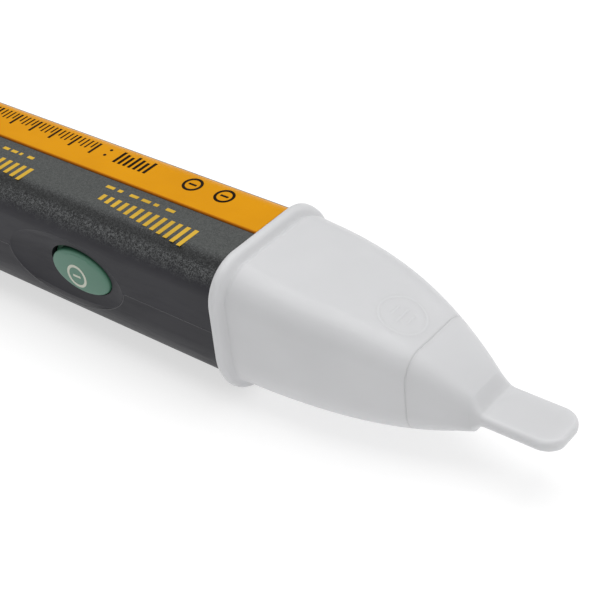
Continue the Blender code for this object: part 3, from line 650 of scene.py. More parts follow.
# ------------------------------------------------------------------ housings
def strip_outline(grow_out, grow_in, side, count=24):
    half, _, high, radius, _ = BODY
    cy, cz = half - radius, high - radius
    end = 90 - 28.0 - side * 2.0
    outer = []
    for k in range(count + 1):
        t = k / count
        out = radius + grow_out * (1.0 if side else 1 - 0.85 * t ** 2)
        a = math.radians(90 + (end - 90) * t)
        outer.append((cy + out * math.cos(a), cz + out * math.sin(a)))
    inner = arc(cy, cz, radius - grow_in, end, 90, count)
    near = 0.12 - side
    rounded = arc(near + 0.28, high + grow_out - 0.28, 0.28, 180, 90, 8) if side == 0 else [(near, high + grow_out)]
    return rounded + outer + inner + [(near, high - grow_in)]


def shell(name):
    made = prism_x(name, section(BODY), HOUSE_X0, HOUSE_X1)
    join(made, prism_x("spigot", section(BODY, 1.9), HOUSE_X1 - 2.0, 6.0))
    return cut(made, prism_x("hollow", section(BODY, WALL), HOUSE_X0 - 5, -5.0), prism_x("bore", section(BODY, 3.1), -6.0, 9.0))


def parting_line():
    """The fine moulding line that stands a hair proud where the two halves meet, on both sides; its paler colour is a
    painted highlight.
    """
    h = BODY[0]
    rx, rz = DISH_R[0] + 0.02, DISH_R[1] + 0.02
    near = [((HOUSE_X0 + 0.05, -h, PART_Z), (0, 0, 1)), ((DISH_C[0] - rx - 0.1, -h, PART_Z), (0, 0, 1))]
    for a in np.radians(np.linspace(181, 359, 88)):
        n = Vector((math.cos(a) / rx, 0, math.sin(a) / rz)).normalized()
        near.append(((DISH_C[0] + rx * math.cos(a), -h, DISH_C[1] + rz * math.sin(a)), tuple(-n)))
    near += [((DISH_C[0] + rx + 0.1, -h, PART_Z), (0, 0, 1)), ((HOUSE_X1 - 0.4, -h, PART_Z), (0, 0, 1))]
    cross = [(0.035, 0.03), (0.035, -0.03), (-0.05, -0.07), (-0.05, 0.07)]
    made = []
    for a, b in ((near[0], near[1]), (near[-2], near[-1])):
        made.append(sweep("line", [a[0], b[0]], [a[1], b[1]], cross, False))
    made.append(sweep("line", [p for p, _ in near[2:-2]], [n for _, n in near[2:-2]], cross, False))
    far = sweep("line", [(HOUSE_X0 + 0.05, h, PART_Z), (HOUSE_X1 - 0.4, h, PART_Z)], [(0, 0, 1)] * 2,
                [(-a, b) for a, b in cross], False)
    made.append(far)
    verts, faces = [], []
    for obj in made:
        base = len(verts)
        verts += [tuple(v.co / MM) for v in obj.data.vertices]
        faces += [tuple(base + i for i in p.vertices) for p in obj.data.polygons]
        bpy.data.objects.remove(obj, do_unlink=True)
    return link_mesh("parting_line", verts, faces, PARTING_HIGHLIGHT)


HOLE_C, HOLE_R = (BUTTON_C[0] - 0.26, BUTTON_C[1] + 0.14), (BUTTON_R[0] + 0.48, BUTTON_R[1] + 0.36)


def upper_shell():
    made = shell("upper_shell")
    below = block("below", (-110, 20), (-20, 20), (-5, PART_Z + 0.02))
    cut(below, prism_y("tongue", ellipse(DISH_C, DISH_R), -20, -8))
    cut(made, below)
    # Thumb dish: a shallow bowl with a rounded rim.
    rings = []
    for t in np.linspace(0, 1, 26):
        r = math.sin(t * math.pi / 2)
        depth = DISH_DEPTH * (1 - r ** 2) ** 0.8
        rings.append([(u, -BODY[0] + depth, v) for u, v in ellipse(DISH_C, (max(r, 0.02) * (DISH_R[0] - 0.25), max(r, 0.02) * (DISH_R[1] - 0.25)))])
    for out, grow in ((0.02, 0.03), (0.12, 0.10), (1.6, 0.2)):
        rings.append([(u, -BODY[0] - out, v) for u, v in ellipse(DISH_C, (DISH_R[0] - 0.25 + grow, DISH_R[1] - 0.25 + grow))])
    cut(made, rings_to_mesh("dish", rings))
    # Opening for the button.
    cut(made, rings_to_mesh("button_hole", [[(u, y, v) for u, v in ellipse(HOLE_C, HOLE_R)] for y in (-14.0, -7.0)]))
    cut(made, prism_x("strip_recess", strip_outline(1.0, 0.8, 0.1), strip_lo[0] - 0.1, 5.0))
    join(made, prism_x("spigot_top", section(BODY, 1.9)[0:42] + section(BODY, 3.1)[0:42][::-1], HOUSE_X1 - 1.0, 5.5))
    for x in SCREW_X:
        join(made, rod("post", 2.4, (x, SCREW_Y, PART_Z + 0.02), (x, SCREW_Y, 23.9)))
    cut(made, rod("side_pilot", 0.85, (BRACKET_SCREWS[1][0], 8.5, BRACKET_SCREWS[1][1]), (BRACKET_SCREWS[1][0], 12.5, BRACKET_SCREWS[1][1])))
    return made


def lower_shell():
    made = shell("lower_shell")
    cut(
        made,
        block("above", (-110, 20), (-20, 20), (PART_Z - 0.02, 40)),
        prism_y("tongue_room", ellipse(DISH_C, (DISH_R[0] + 0.05, DISH_R[1] + 0.05)), -20, -8),
    )
    for x in SCREW_X:
        join(made, rod("post", 2.4, (x, SCREW_Y, 2.6), (x, SCREW_Y, PART_Z - 0.02)))
        # Counterbore with a broken edge, seen from below.
        cut(made, rod("clearance", 1.15, (x, SCREW_Y, 1.0), (x, SCREW_Y, PART_Z + 2)),
            turned("counterbore", [(0, 5.2), (2.0, 5.2), (2.0, 1.0 + 1.75), (2.35, 1.0 + 1.35), (3.6, 0.0), (0, 0.0)], (x, SCREW_Y, -1.0), (0, 0, 1)))
    cut(made, rod("side_pilot", 0.85, (BRACKET_SCREWS[0][0], 8.5, BRACKET_SCREWS[0][1]), (BRACKET_SCREWS[0][0], 12.5, BRACKET_SCREWS[0][1])))
    return made


upper = even_shading(dress(upper_shell(), GREY, 34))
place(upper, "case", "grey_housing", "upper_housing")
lower = even_shading(dress(lower_shell(), DARK, 34))
place(lower, "case", "dark_housing", "lower_housing")
place(parting_line(), "case", "dark_housing")

strip_x = (strip_lo[0], strip_hi[0])
ends = []
for x, drop in ((strip_x[0], 0.22), (strip_x[0] + 0.06, 0.1), (strip_x[0] + 0.2, 0.0), (strip_x[1], 0.0)):
    outline = strip_outline(0.3, 0.7, 0.0)
    ends.append([(x, y, z if z < BODY[2] - 0.3 else z - drop * min(max((z - BODY[2] + 0.3) / 0.6, 0), 1)) for y, z in outline])
strip = even_shading(rings_to_mesh("strip_cover", ends, YELLOW, 34))
place(strip, "case", "yellow_strip", "accent_strip")


# ------------------------------------------------------------------ nose and probe
def step(v, low, high):
    t = min(max((v - low) / (high - low), 0.0), 1.0)
    return t * t * (3 - 2 * t)


def pinched(x):
    """The collar ring is tighter under the nose and wider on its far side."""
    reach = max(x + 0.6, 0.0)
    if x > BEAD[-1][0]:
        reach = (BEAD[-1][0] + 0.6) * max(1.0 - (x - BEAD[-1][0]) / 4.0, 0.0)
    wide = 1.0 * step(x, -0.4, 1.1) * (1 - step(x, 1.1, 5.5))
    return lambda y, z: (x - reach * 0.78 * min(max((9.0 - z) / 9.0, 0.0), 1.0) ** 1.2
                         + wide * step(y, 5.5, 11.5))


bead_x = np.array([b[0] for b in BEAD])
bead_at = np.concatenate([np.linspace(-1.5, -0.25, 14), np.linspace(-0.13, 2.62, 30)])
bead_in = hermite(bead_x, [b[1] for b in BEAD], bead_at)
rings = []
for x, inset in zip(bead_at, bead_in):
    half, low, high, top_r, low_r = COLLAR
    ridge = (half - inset, low + inset, high - inset, top_r - inset, low_r - inset)
    share = step(float(x), 1.35, 2.2)
    shape = tuple(p + (q - p) * share for p, q in zip(ridge, nose_shape(max(float(x), 1.5))))
    rings.append((pinched(float(x)), section(shape, 0.0, 28)))
nose_at = np.concatenate([[2.75, 2.9, 3.2, 3.7], np.linspace(4.4, SEAM_X - 0.35, 44)])
rings += [(pinched(float(x)), section(nose_shape(float(x)), 0.0, 28)) for x in nose_at]
for back, inset in ((0.22, 0.002), (0.12, 0.012), (0.05, 0.03), (0.0, 0.055)):
    rings.append((SEAM_X - back, section(nose_shape(SEAM_X - back), inset, 28)))
nose = loft("nose_shell", rings)
join(nose, prism_z("foot", [(-1.2, -2.2), (1.2, -2.2), (1.2, 2.2), (-1.2, 2.2)], 0.0, 2.2))
cut(nose, loft("nose_hollow", [(x, section(nose_shape(max(x, 1.5)), 1.5)) for x in (-3.0, 1.5, 5.5, 9.0, 13.0, 17.0, 21.0, 25.0, 30.5)]))
dress(nose, WHITE, 50)
place(nose, "case", "white_nose", "nose_cone")


def raised_on_nose(name, outlines, mat):
    """Plain outlines standing a little proud of the level top of the nose, with sloping sides."""
    verts, faces = [], []
    for outer, inner in outlines:
        loops = [(outer, 0.0, -0.008), (outer, 0.12, 0.014)]
        loops += [(inner, -0.12, 0.014), (inner, 0.0, -0.008)] if inner else []
        n, a = len(outer), len(verts)
        for loop, shrink, lift in loops:
            c = sum((Vector(p) for p in loop), Vector((0, 0))) / len(loop)
            for p in loop:
                d = Vector(p) - c
                q = c + d * (1 - shrink / d.length)
                verts.append((q.x, q.y, nose_shape(q.x)[2] + lift))
        for k in range(len(loops) if inner else 1):
            p, q = a + k * n, a + ((k + 1) % len(loops)) * n
            faces += [(p + i, p + (i + 1) % n, q + (i + 1) % n, q + i) for i in range(n)]
        if not inner:
            faces += [tuple(range(a + n - 1, a - 1, -1)), tuple(range(a + n, a + 2 * n))]
    return link_mesh(name, verts, faces, mat, 40)


mark_c = (24.6, -0.6)
mark = [(ellipse(mark_c, (3.6, 3.6), 72), ellipse(mark_c, (3.15, 3.15), 72))]
for k in (-1, 0, 1):
    u, half = mark_c[0] + 1.25 * k, 1.7 if k == 0 else 1.1
    side = [(u - 0.2, mark_c[1] + v) for v in np.linspace(-half, half, 9)]
    mark.append((side + [(u + 0.2, v) for _, v in side[::-1]], None))
place(raised_on_nose("nose_mark", mark, WHITE_MARK), "case", "white_nose")


def spatula_section(x):
    half, low, high = SPATULA
    middle, thick = (low + high) / 2, (high - low) / 2
    into = x - (TIP_X - SPATULA_CORNER)
    if into > 0:
        half = half - SPATULA_CORNER + math.sqrt(max(SPATULA_CORNER ** 2 - into ** 2, 0.0004))
    near_end = x - (TIP_X - 0.6)
    if near_end > 0:
        thick *= math.sqrt(max(1 - (near_end / 0.6) ** 2, 0.004))
    radius = min(thick * 0.97, 1.0)
    return (half, middle - thick, middle + thick, radius, radius)


def between(a, b, t):
    return tuple(p + (q - p) * t for p, q in zip(a, b))


def reaching(x, share):
    middle = (SPATULA[1] + SPATULA[2]) / 2
    return lambda y, z: x + BLOCK_REACH * share * min(max((middle - z) / 2.5, 0.0), 1.0)


block_shape = nose_shape(BLOCK_END_X)
share_x = [BLOCK_END_X, 38.2, 38.8, 39.3, 39.8]
share_y = [1.0, 0.62, 0.27, 0.08, 0.0]
tip_rings = []
start = SEAM_X + 0.008
for ahead, inset in ((0.0, 0.055), (0.05, 0.03), (0.12, 0.012), (0.22, 0.002)):
    tip_rings.append((start + ahead, section(nose_shape(start + ahead), inset, 28)))
tip_rings += [(float(x), section(nose_shape(float(x)), 0.0, 28)) for x in np.linspace(start + 0.5, 35.5, 14)]
tip_rings += [(reaching(float(x), float(s)), section(nose_shape(float(x)), 0.0, 28))
              for x, s in zip(np.linspace(35.9, 37.45, 8), np.linspace(0.15, 0.95, 8))]
for x in np.linspace(BLOCK_END_X, 39.75, 16):
    share = float(hermite(share_x, share_y, x)[0])
    tip_rings.append((reaching(float(x), share), section(between(spatula_section(float(x)), block_shape, share), 0.0, 28)))
tip_rings += [(float(x), section(spatula_section(float(x)), 0.0, 28)) for x in np.linspace(SPATULA_X, TIP_X - SPATULA_CORNER, 8)]
tip_rings += [(TIP_X - SPATULA_CORNER * (1 - math.sin(a)), section(spatula_section(TIP_X - SPATULA_CORNER * (1 - math.sin(a))), 0.0, 28))
              for a in np.radians(np.linspace(3, 90, 30))]
tip = loft("probe_shell", tip_rings)
join(tip, loft("tip_spigot", [(x, section(nose_shape(x), 1.62)) for x in (25.6, 27.5, 29.4, 31.0)]))
cut(tip, loft("tip_hollow", [(x, section(nose_shape(x), 2.8)) for x in (24.0, 27.0, 29.4, 32.0, 34.4)]),
    block("antenna_slot", (33.0, 49.2), (-2.5, 2.5), (10.9, 11.75)))
dress(tip, WHITE, 50)
place(tip, "case", "white_nose", "probe_tip")

# ------------------------------------------------------------------ button
face_y = button_lo[1] + 0.22
button_rings = []
BUTTON_DOME = ((5.6, -0.22), (4.4, -0.215), (3.2, -0.20), (2.2, -0.175), (1.4, -0.145), (0.85, -0.11), (0.52, -0.07), (0.31, 0.0),
               (0.16, 0.10), (0.06, 0.24), (0.015, 0.40), (0.0, 0.6))
for y, inset in [(face_y + h, i) for i, h in BUTTON_DOME] + [(-9.35, 0.0), (-9.35, -0.75), (-8.55, -0.75)]:
    rx, rz = BUTTON_R[0] - inset, BUTTON_R[1] - inset * (BUTTON_R[1] / BUTTON_R[0] if inset > 0.7 else 1.0)
    button_rings.append([(u, y, v) for u, v in ellipse(BUTTON_C, (max(rx, 0.1), max(rz, 0.1)))])
button = dress(rings_to_mesh("button_cap", button_rings), GREEN, 40)
place(button, "power_button", "green_button", "power_button")

# Rubber dome under the button.
membrane = turned("button_membrane", [
    (0, 0.9), (1.2, 0.895), (1.75, 0.86), (2.05, 0.79), (2.35, 0.64), (2.65, 0.50), (3.0, 0.43), (3.7, 0.40), (4.08, 0.38), (4.2, 0.28),
    (4.2, 0.06), (4.14, 0.0), (1.7, 0.0), (1.5, 0.14), (1.2, 0.28), (0.9, 0.3), (0, 0.3),
], (BUTTON_C[0], -7.42, BUTTON_C[1]), (0, -1, 0), SILICONE)
place(membrane, "case", "silicone_pad", "button_pad")
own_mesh(membrane)

# Printed ring with a short bar, standing a hair off the face.
ring_c = (BUTTON_C[0] - 0.68, BUTTON_C[1] - 0.72)


def face_height(u, v):
    """Y of the button's domed face at a point."""
    r = math.hypot((u - BUTTON_C[0]) / BUTTON_R[0], (v - BUTTON_C[1]) / BUTTON_R[1])
    inset = (1 - min(r, 1.0)) * BUTTON_R[0]
    return face_y + float(np.interp(inset, [i for i, _ in BUTTON_DOME[::-1]], [h for _, h in BUTTON_DOME[::-1]]))


def printed_on_button(name, outline_outer, outline_inner=None):
    verts, faces = [], []
    n = len(outline_outer)
    if outline_inner:
        loops = [(outline_outer, 0.03), (outline_outer, -0.03), (outline_inner, -0.03), (outline_inner, 0.03)]
        for outline, lift in loops:
            verts += [(u, face_height(u, v) + lift - 0.005, v) for u, v in outline]
        for k in range(4):
            a, b = k * n, ((k + 1) % 4) * n
            faces += [(a + i, a + (i + 1) % n, b + (i + 1) % n, b + i) for i in range(n)]
    else:
        for lift in (0.03, -0.03):
            verts += [(u, face_height(u, v) + lift - 0.005, v) for u, v in outline_outer]
        faces += [(i, (i + 1) % n, n + (i + 1) % n, n + i) for i in range(n)]
        faces += [tuple(range(n)), tuple(range(2 * n - 1, n - 1, -1))]
    return link_mesh(name, verts, faces, PALE_INK)


ring = printed_on_button("button_ring", ellipse(ring_c, (2.07, 2.07), 72), ellipse(ring_c, (1.60, 1.60), 72))
bar = printed_on_button("button_bar", [(ring_c[0] - 0.8, ring_c[1] - 0.2), (ring_c[0] + 0.8, ring_c[1] - 0.2),
                                       (ring_c[0] + 0.8, ring_c[1] + 0.2), (ring_c[0] - 0.8, ring_c[1] + 0.2)])
for mark in (ring, bar):
    place(mark, "power_button", "green_button")


# ------------------------------------------------------------------ printed marks, all generic
class Print:
    """Flat ink shapes on a level face, gathered into one thin piece."""

    def __init__(self, z, thick=0.03):
        self.z, self.thick = z, thick
        self.verts, self.faces = [], []

    def area(self, outline):
        n, a = len(outline), len(self.verts)
        for lift in (-0.02, self.thick):
            self.verts += [(u, v, self.z + lift) for u, v in outline]
        self.faces += [(a + i, a + (i + 1) % n, a + n + (i + 1) % n, a + n + i) for i in range(n)]
        self.faces += [tuple(range(a + n - 1, a - 1, -1)), tuple(range(a + n, a + 2 * n))]

    def band(self, outer, inner):
        n, a = len(outer), len(self.verts)
        for outline, lift in ((outer, -0.02), (outer, self.thick), (inner, self.thick), (inner, -0.02)):
            self.verts += [(u, v, self.z + lift) for u, v in outline]
        for k in range(4):
            p, q = a + k * n, a + ((k + 1) % 4) * n
            self.faces += [(p + i, p + (i + 1) % n, q + (i + 1) % n, q + i) for i in range(n)]

    def stroke(self, points, width):
        """An open line of even width with square ends."""
        pts = [Vector(p) for p in points]
        left, right = [], []
        for i, p in enumerate(pts):
            d = (pts[min(i + 1, len(pts) - 1)] - pts[max(i - 1, 0)]).normalized()
            n = Vector((-d.y, d.x)) * width / 2
            left.append(tuple(p + n))
            right.append(tuple(p - n))
        a, n = len(self.verts), len(pts)
        for lift in (-0.02, self.thick):
            for side in (left, right):
                self.verts += [(u, v, self.z + lift) for u, v in side]
        low_l, low_r, high_l, high_r = a, a + n, a + 2 * n, a + 3 * n
        for i in range(n - 1):
            self.faces += [
                (high_l + i, high_l + i + 1, high_r + i + 1, high_r + i),
                (low_r + i, low_r + i + 1, low_l + i + 1, low_l + i),
                (low_l + i, low_l + i + 1, high_l + i + 1, high_l + i),
                (high_r + i, high_r + i + 1, low_r + i + 1, low_r + i),
            ]
        self.faces += [(low_l, high_l, high_r, low_r), (low_r + n - 1, high_r + n - 1, high_l + n - 1, low_l + n - 1)]

    def outline_of(self, corners, width, radius=0.25):
        """A closed band round a polygon, with rounded corners."""
        def rounded(points, r):
            out = []
            n = len(points)
            for i in range(n):
                p, q, s = Vector(points[i - 1]), Vector(points[i]), Vector(points[(i + 1) % n])
                a = q + (p - q).normalized() * r
                b = q + (s - q).normalized() * r
                for t in np.linspace(0, 1, 6):
                    out.append(tuple((1 - t) ** 2 * a + 2 * t * (1 - t) * q + t ** 2 * b))
            return out
        c = sum((Vector(p) for p in corners), Vector((0, 0))) / len(corners)
        # Offset every side inwards by the line's width.
        inner = []
        n = len(corners)
        for i in range(n):
            p, q, s = Vector(corners[i - 1]), Vector(corners[i]), Vector(corners[(i + 1) % n])
            u, v = (q - p).normalized(), (s - q).normalized()
            na, nb = Vector((-u.y, u.x)), Vector((-v.y, v.x))
            if na.dot(c - q) < 0:
                na, nb = -na, -nb
            m = (na + nb).normalized()
            inner.append(tuple(q + m * width / max(m.dot(na), 0.2)))
        self.band(rounded([tuple(p) for p in corners], radius * 1.6), rounded(inner, radius * 0.5))

    def piece(self, name, mat):
        return link_mesh(name, self.verts, self.faces, mat)


top_z = strip_hi[2]
black = Print(top_z)
# A ruler of long and short ticks, two dots, a bar block, and two plain rings at the front end.
for u in (-18.4, -12.0):
    black.band(ellipse((u, 5.15), (1.72, 1.72), 48), ellipse((u, 5.15), (1.25, 1.25), 48))
    black.area([(u - 0.75, 4.95), (u + 0.75, 4.95), (u + 0.75, 5.35), (u - 0.75, 5.35)])
for k in range(7):
    u = -34.2 + 1.08 * k
    black.area([(u, 3.6), (u + 0.55, 3.6), (u + 0.55, 6.8 - 0.3 * (k % 3)), (u, 6.8 - 0.3 * (k % 3))])
for y in (4.5, 6.1):
    black.area(ellipse((-36.6, y), (0.28, 0.28), 16))
for k in range(46):
    u = -39.2 - 0.92 * k
    low, wide = (3.6, 0.46) if k % 5 == 0 else ((4.5, 0.3) if k % 5 in (2, 3) else (5.0, 0.3))
    black.area([(u - wide, low), (u, low), (u, 6.75), (u - wide, 6.75)])
strip_print = black.piece("strip_marks", BLACK_INK)
place(strip_print, "case", "yellow_strip")

yellow = Print(BODY[2])
# A level scale whose bars grow towards the probe, a dashed line beside it, and the same again at the rear.
for k in range(13):
    u = -28.9 + 1.56 * k
    tall = 1.5 + 0.24 * k
    yellow.area([(u, -3.7 - tall), (u + 0.78, -3.7 - tall), (u + 0.78, -3.7), (u, -3.7)])
for k in range(6):
    u = -30.2 + 2.5 * k
    long = 1.7 if k % 3 != 1 else 0.9
    yellow.area([(u, -2.1), (u + long, -2.1), (u + long, -1.45), (u, -1.45)])
for k in range(10):
    u = -44.6 - 1.62 * k
    tall = 3.5 - 0.22 * k
    yellow.area([(u, -4.3 - tall), (u + 0.8, -4.3 - tall), (u + 0.8, -4.3), (u, -4.3)])
for k in range(9):
    u = -47.6 - 1.9 * k
    long = 1.3 if k % 3 != 1 else 0.6
    yellow.area([(u, -2.35), (u + long, -2.35), (u + long, -1.7), (u, -1.7)])
yellow_print = yellow.piece("housing_marks", YELLOW_INK)
place(yellow_print, "case", "grey_housing")

# ------------------------------------------------------------------ battery cap
cap_front = cap_hi[0]


def round_end(radius, steps):
    return [(radius * (1 - math.cos(a)), radius * (1 - math.sin(a))) for a in np.radians(np.linspace(0, 90, steps + 1))]


CAP_FRONT_X = -88.3
rings = [(REAR_X + d, section(CAP, inset, 24)) for d, inset in round_end(2.0, 14)]
rings += [(x, section(CAP, 0.0, 24)) for x in np.linspace(REAR_X + 2.6, CAP_FRONT_X - 1.2, 8)]
rings += [(CAP_FRONT_X - d, section(CAP, inset, 24)) for d, inset in reversed(round_end(0.8, 8))]
cap = loft("rear_cap", rings)
join(cap, prism_x("cap_spigot", section(BODY, WALL + 0.2), CAP_FRONT_X - 2.0, cap_front))
cut(cap, prism_x("cap_hollow", section(BODY, WALL + 1.5), REAR_X + 2.0, -80.0))
groove = prism_x("seal_outer", section(BODY, WALL - 1.0), -87.0, -85.6)
cut(groove, prism_x("seal_inner", section(BODY, WALL + 0.75), -87.5, -85.1))
cut(cap, groove)
for side in (-1, 1):
    for k in range(4):
        x = -93.7 + 1.35 * k
        # Grip grooves with round ends and a round bottom.
        outline = arc(x, 18.6, 0.32, 0, 180, 12) + arc(x, 9.4, 0.32, 180, 360, 12)
        cut(cap, prism_y("grip", outline, side * 12.5 - 0.35, side * 12.5 + 0.35))
for centre in (CELL_A, CELL_B):
    u = Vector(centre) * 0.55 + (Vector(CELL_A) + Vector(CELL_B)) * 0.225
    join(cap, rod("bridge_post", 1.4, (REAR_X + 1.0, u.x, u.y), (-84.65, u.x, u.y)))
dress(cap, CAP_MAT, 34)
even_shading(cap)
place(cap, "battery_cap", "dark_housing", "battery_cap")

# ------------------------------------------------------------------ clip
clip_lo, clip_hi = lo_hi("pocket_clip")
brk_lo, brk_hi = lo_hi("clip_bracket")
bx, by = -76.3, 12.9


def clip_outline(path, thick_at):
    pts = [Vector(p) for p in path]
    left, right = [], []
    for i, p in enumerate(pts):
        d = (pts[min(i + 1, len(pts) - 1)] - pts[max(i - 1, 0)]).normalized()
        n = Vector((-d.y, d.x)) * thick_at(i / (len(pts) - 1)) / 2
        left.append(p + n)
        right.append(p - n)
    return left, right


arm = [(bx + 0.3, by), (bx + 1.3, by + 0.15), (-72.0, 13.25), (-63.5, 13.25), (-55.0, 13.25), (-50.5, 13.05), (-47.5, 12.45),
       (-46.0, 12.05), (-44.8, 11.95), (-43.6, 12.15), (-42.2, 12.75), (-41.2, 13.35)]
arm_path = [tuple(p) for p in smooth_path([(a, b, 0) for a, b in arm], 90)]
left, right = clip_outline([(p[0], p[1]) for p in arm_path], lambda t: 1.1 - 0.12 * math.sin(math.pi * t))
z_mid, z_half = (clip_lo[2] + clip_hi[2]) / 2, (clip_hi[2] - clip_lo[2]) / 2
rings = []
for i in range(len(left)):
    t = i / (len(left) - 1)
    half = z_half * (1.0 if t < 0.86 else math.sqrt(max(1 - ((t - 0.86) / 0.16) ** 2, 0.05)))
    r = 0.32
    outer, inner = left[i], right[i]
    d = (outer - inner).normalized()
    ring = []
    thick = (outer - inner).length
    for cu, cz, a0 in ((thick / 2 - r, half - r, 0), (-thick / 2 + r, half - r, 90), (-thick / 2 + r, -half + r, 180), (thick / 2 - r, -half + r, 270)):
        for a in np.radians(np.linspace(a0, a0 + 90, 6)):
            off = cu + r * math.cos(a)
            p = (outer + inner) / 2 + d * off
            ring.append((p.x, p.y, z_mid + cz + r * math.sin(a)))
    rings.append(ring)
clip = rings_to_mesh("clip_arm", rings)
join(clip, turned("bead", [(0, 2 * z_half - 0.04), (0.8, 2 * z_half - 0.04), (1.1, 2 * z_half - 0.3), (1.1, 0.3), (0.8, 0.04), (0, 0.04)],
                  (bx, by, clip_lo[2]), (0, 0, 1)))
dress(clip, CLIP_MAT, 40)
place(clip, "pocket_clip", "clip_plastic", "pocket_clip")

bracket = block("clip_base", (brk_lo[0], brk_hi[0]), (brk_lo[1], brk_hi[1]), (brk_lo[2], brk_hi[2]))
soften(bracket, 0.5, 4)
cut(bracket, rod("groove", 1.28, (bx, by, 5), (bx, by, 25)))
for x, z in BRACKET_SCREWS:
    cut(bracket, rod("hole", 0.95, (x, 10, z), (x, 16, z)),
        turned("head_room", [(0, 3.0), (2.4, 3.0), (1.98, 1.7), (1.75, 1.45), (1.75, 0.0), (0, 0.0)], (x, 13.3, z), (0, 1, 0)))
dress(bracket, CLIP_MAT, 34)
even_shading(bracket)
place(bracket, "case", "clip_plastic", "clip_bracket")


# ------------------------------------------------------------------ screws
def screw(name, profile, centre, axis, recess_r, recess_at, depth, arms, top):
    made = turned(name, profile, centre, axis, None, 48)
    turn = Vector((0, 0, 1)).rotation_difference(Vector(axis)).to_matrix().to_4x4()
    for k in range(arms):
        tool = block("recess", (-recess_r, recess_r), (-0.17, 0.17), (min(recess_at, recess_at - depth * top), max(recess_at, recess_at - depth * top)))
        tool.data.transform(Matrix.Rotation(math.pi * k / arms, 4, "Z"))
        tool.data.transform(turn)
        tool.data.transform(Matrix.Translation(Vector(centre) * MM))
        cut(made, tool)
    return dress(made, STEEL, 32)


for n, (x, z) in enumerate(BRACKET_SCREWS, 1):
    profile = [(0, 4.6), (0.7, 4.58), (1.15, 4.5), (1.4, 4.32), (1.5, 4.05), (1.5, 3.6), (0.7, 3.55)]
    h = 3.4
    while h > 0.7:
        profile += [(0.8, h), (0.62, h - 0.2)]
        h -= 0.4
    profile += [(0.4, 0.1), (0, 0.0)]
    made = screw(f"clip_screw_head_{n}", profile, (x, 10.0, z), (0, 1, 0), 0.85, 4.75, 0.75, 2, 1)
    place(made, "case", "steel", f"clip_screw_{n}")
for n, x in enumerate(SCREW_X, 1):
    profile = [(0, 13.6), (0.5, 13.4), (0.8, 12.9)]
    h = 12.7
    while h > 2.2:
        profile += [(0.88, h), (0.66, h - 0.25)]
        h -= 0.5
    profile += [(0.8, 1.7), (1.8, 1.6), (1.8, 0.55), (1.7, 0.25), (1.4, 0.05), (0.6, 0.0), (0, 0.0)]
    made = screw(f"case_screw_head_{n}", profile, (x, SCREW_Y, 2.5), (0, 0, 1), 0.95, -0.2, 0.95, 2, -1)
    place(made, "case", "steel", f"case_screw_{n}")

# ------------------------------------------------------------------ cells, springs, leads
for name, node, (y, z), forward in (("cell_upper", "battery_cell_upper", CELL_A, True), ("cell_lower", "battery_cell_lower", CELL_B, False)):
    low, high = lo_hi(node)
    start = (low[0] if forward else high[0], y, z)
    axis = (1 if forward else -1, 0, 0)
    R, L = 5.2, 43.6
    can = [(0, L + 0.9), (1.5, L + 0.88), (1.75, L + 0.72), (1.8, L + 0.5), (1.8, L + 0.06), (2.1, L), (3.9, L), (4.1, L - 0.12), (4.3, L), (4.7, L - 0.02),
           (4.98, L - 0.22), (5.08, L - 0.5), (5.08, L - 1.0), (5.05, 1.2), (5.0, 0.5), (4.8, 0.22), (4.4, 0.1), (3.4, 0.02), (3.0, 0.12), (0, 0.12)]
    body_ = turned(name + "_can", can, start, axis, NICKEL, 64)
    place(body_, "case", "contact_metal", node)
    sleeve = [(4.5, L + 0.05), (4.85, L + 0.04), (5.14, L - 0.2), (5.2, L - 0.55), (5.2, 0.55), (5.12, 0.2), (4.9, 0.0), (4.6, -0.0 + 0.02),
              (4.6, 0.1), (4.9, 0.2), (5.09, 0.55), (5.09, L - 0.55), (4.9, L - 0.12), (4.5, L - 0.04)]
    jacket = rings_to_mesh(name + "_jacket", [
        [tuple(Vector(start) + Vector(axis) * h + Vector((0, r * math.cos(a), r * math.sin(a)))) for a in np.linspace(0, 2 * math.pi, 64, endpoint=False)]
        for r, h in sleeve], SLEEVE, 32, True)
    place(jacket, "case", "cell_sleeve")
    for tag, at, wide in (("a", 4.5, 1.6), ("b", L - 7.5, 3.4)):
        profile = [(5.206, at + wide), (5.225, at + wide - 0.02), (5.225, at + 0.02), (5.206, at), (5.19, at), (5.19, at + wide)]
        made = rings_to_mesh(f"{name}_band_{tag}", [
            [tuple(Vector(start) + Vector(axis) * h + Vector((0, r * math.cos(a), r * math.sin(a)))) for a in np.linspace(0, 2 * math.pi, 64, endpoint=False)]
            for r, h in profile], SLEEVE_BAND, 32, True)
        place(made, "case", "cell_sleeve")


def coil(name, start, sign, length, r0, r1, wire, turns, mat):
    x, y, z = start
    pts = []
    count = int(turns * 40)
    for k in range(count + 1):
        t = k / count
        r = r0 + (r1 - r0) * t
        a = 2 * math.pi * turns * t
        pts.append((x + sign * length * t, y + r * math.cos(a), z + r * math.sin(a)))
    return tube(name, pts, wire, mat, 12)


place(coil("front_spring_wire", (-38.45, CELL_B[0], CELL_B[1]), -1, 0.72, 3.2, 1.6, 0.12, 2.25, NICKEL), "case", "contact_metal", "front_contact_spring")
place(coil("bridge_spring_wire", (-83.9, CELL_A[0], CELL_A[1]), 1, 0.6, 3.2, 1.8, 0.12, 2.25, NICKEL), "battery_cap", "contact_metal", "bridge_spring")

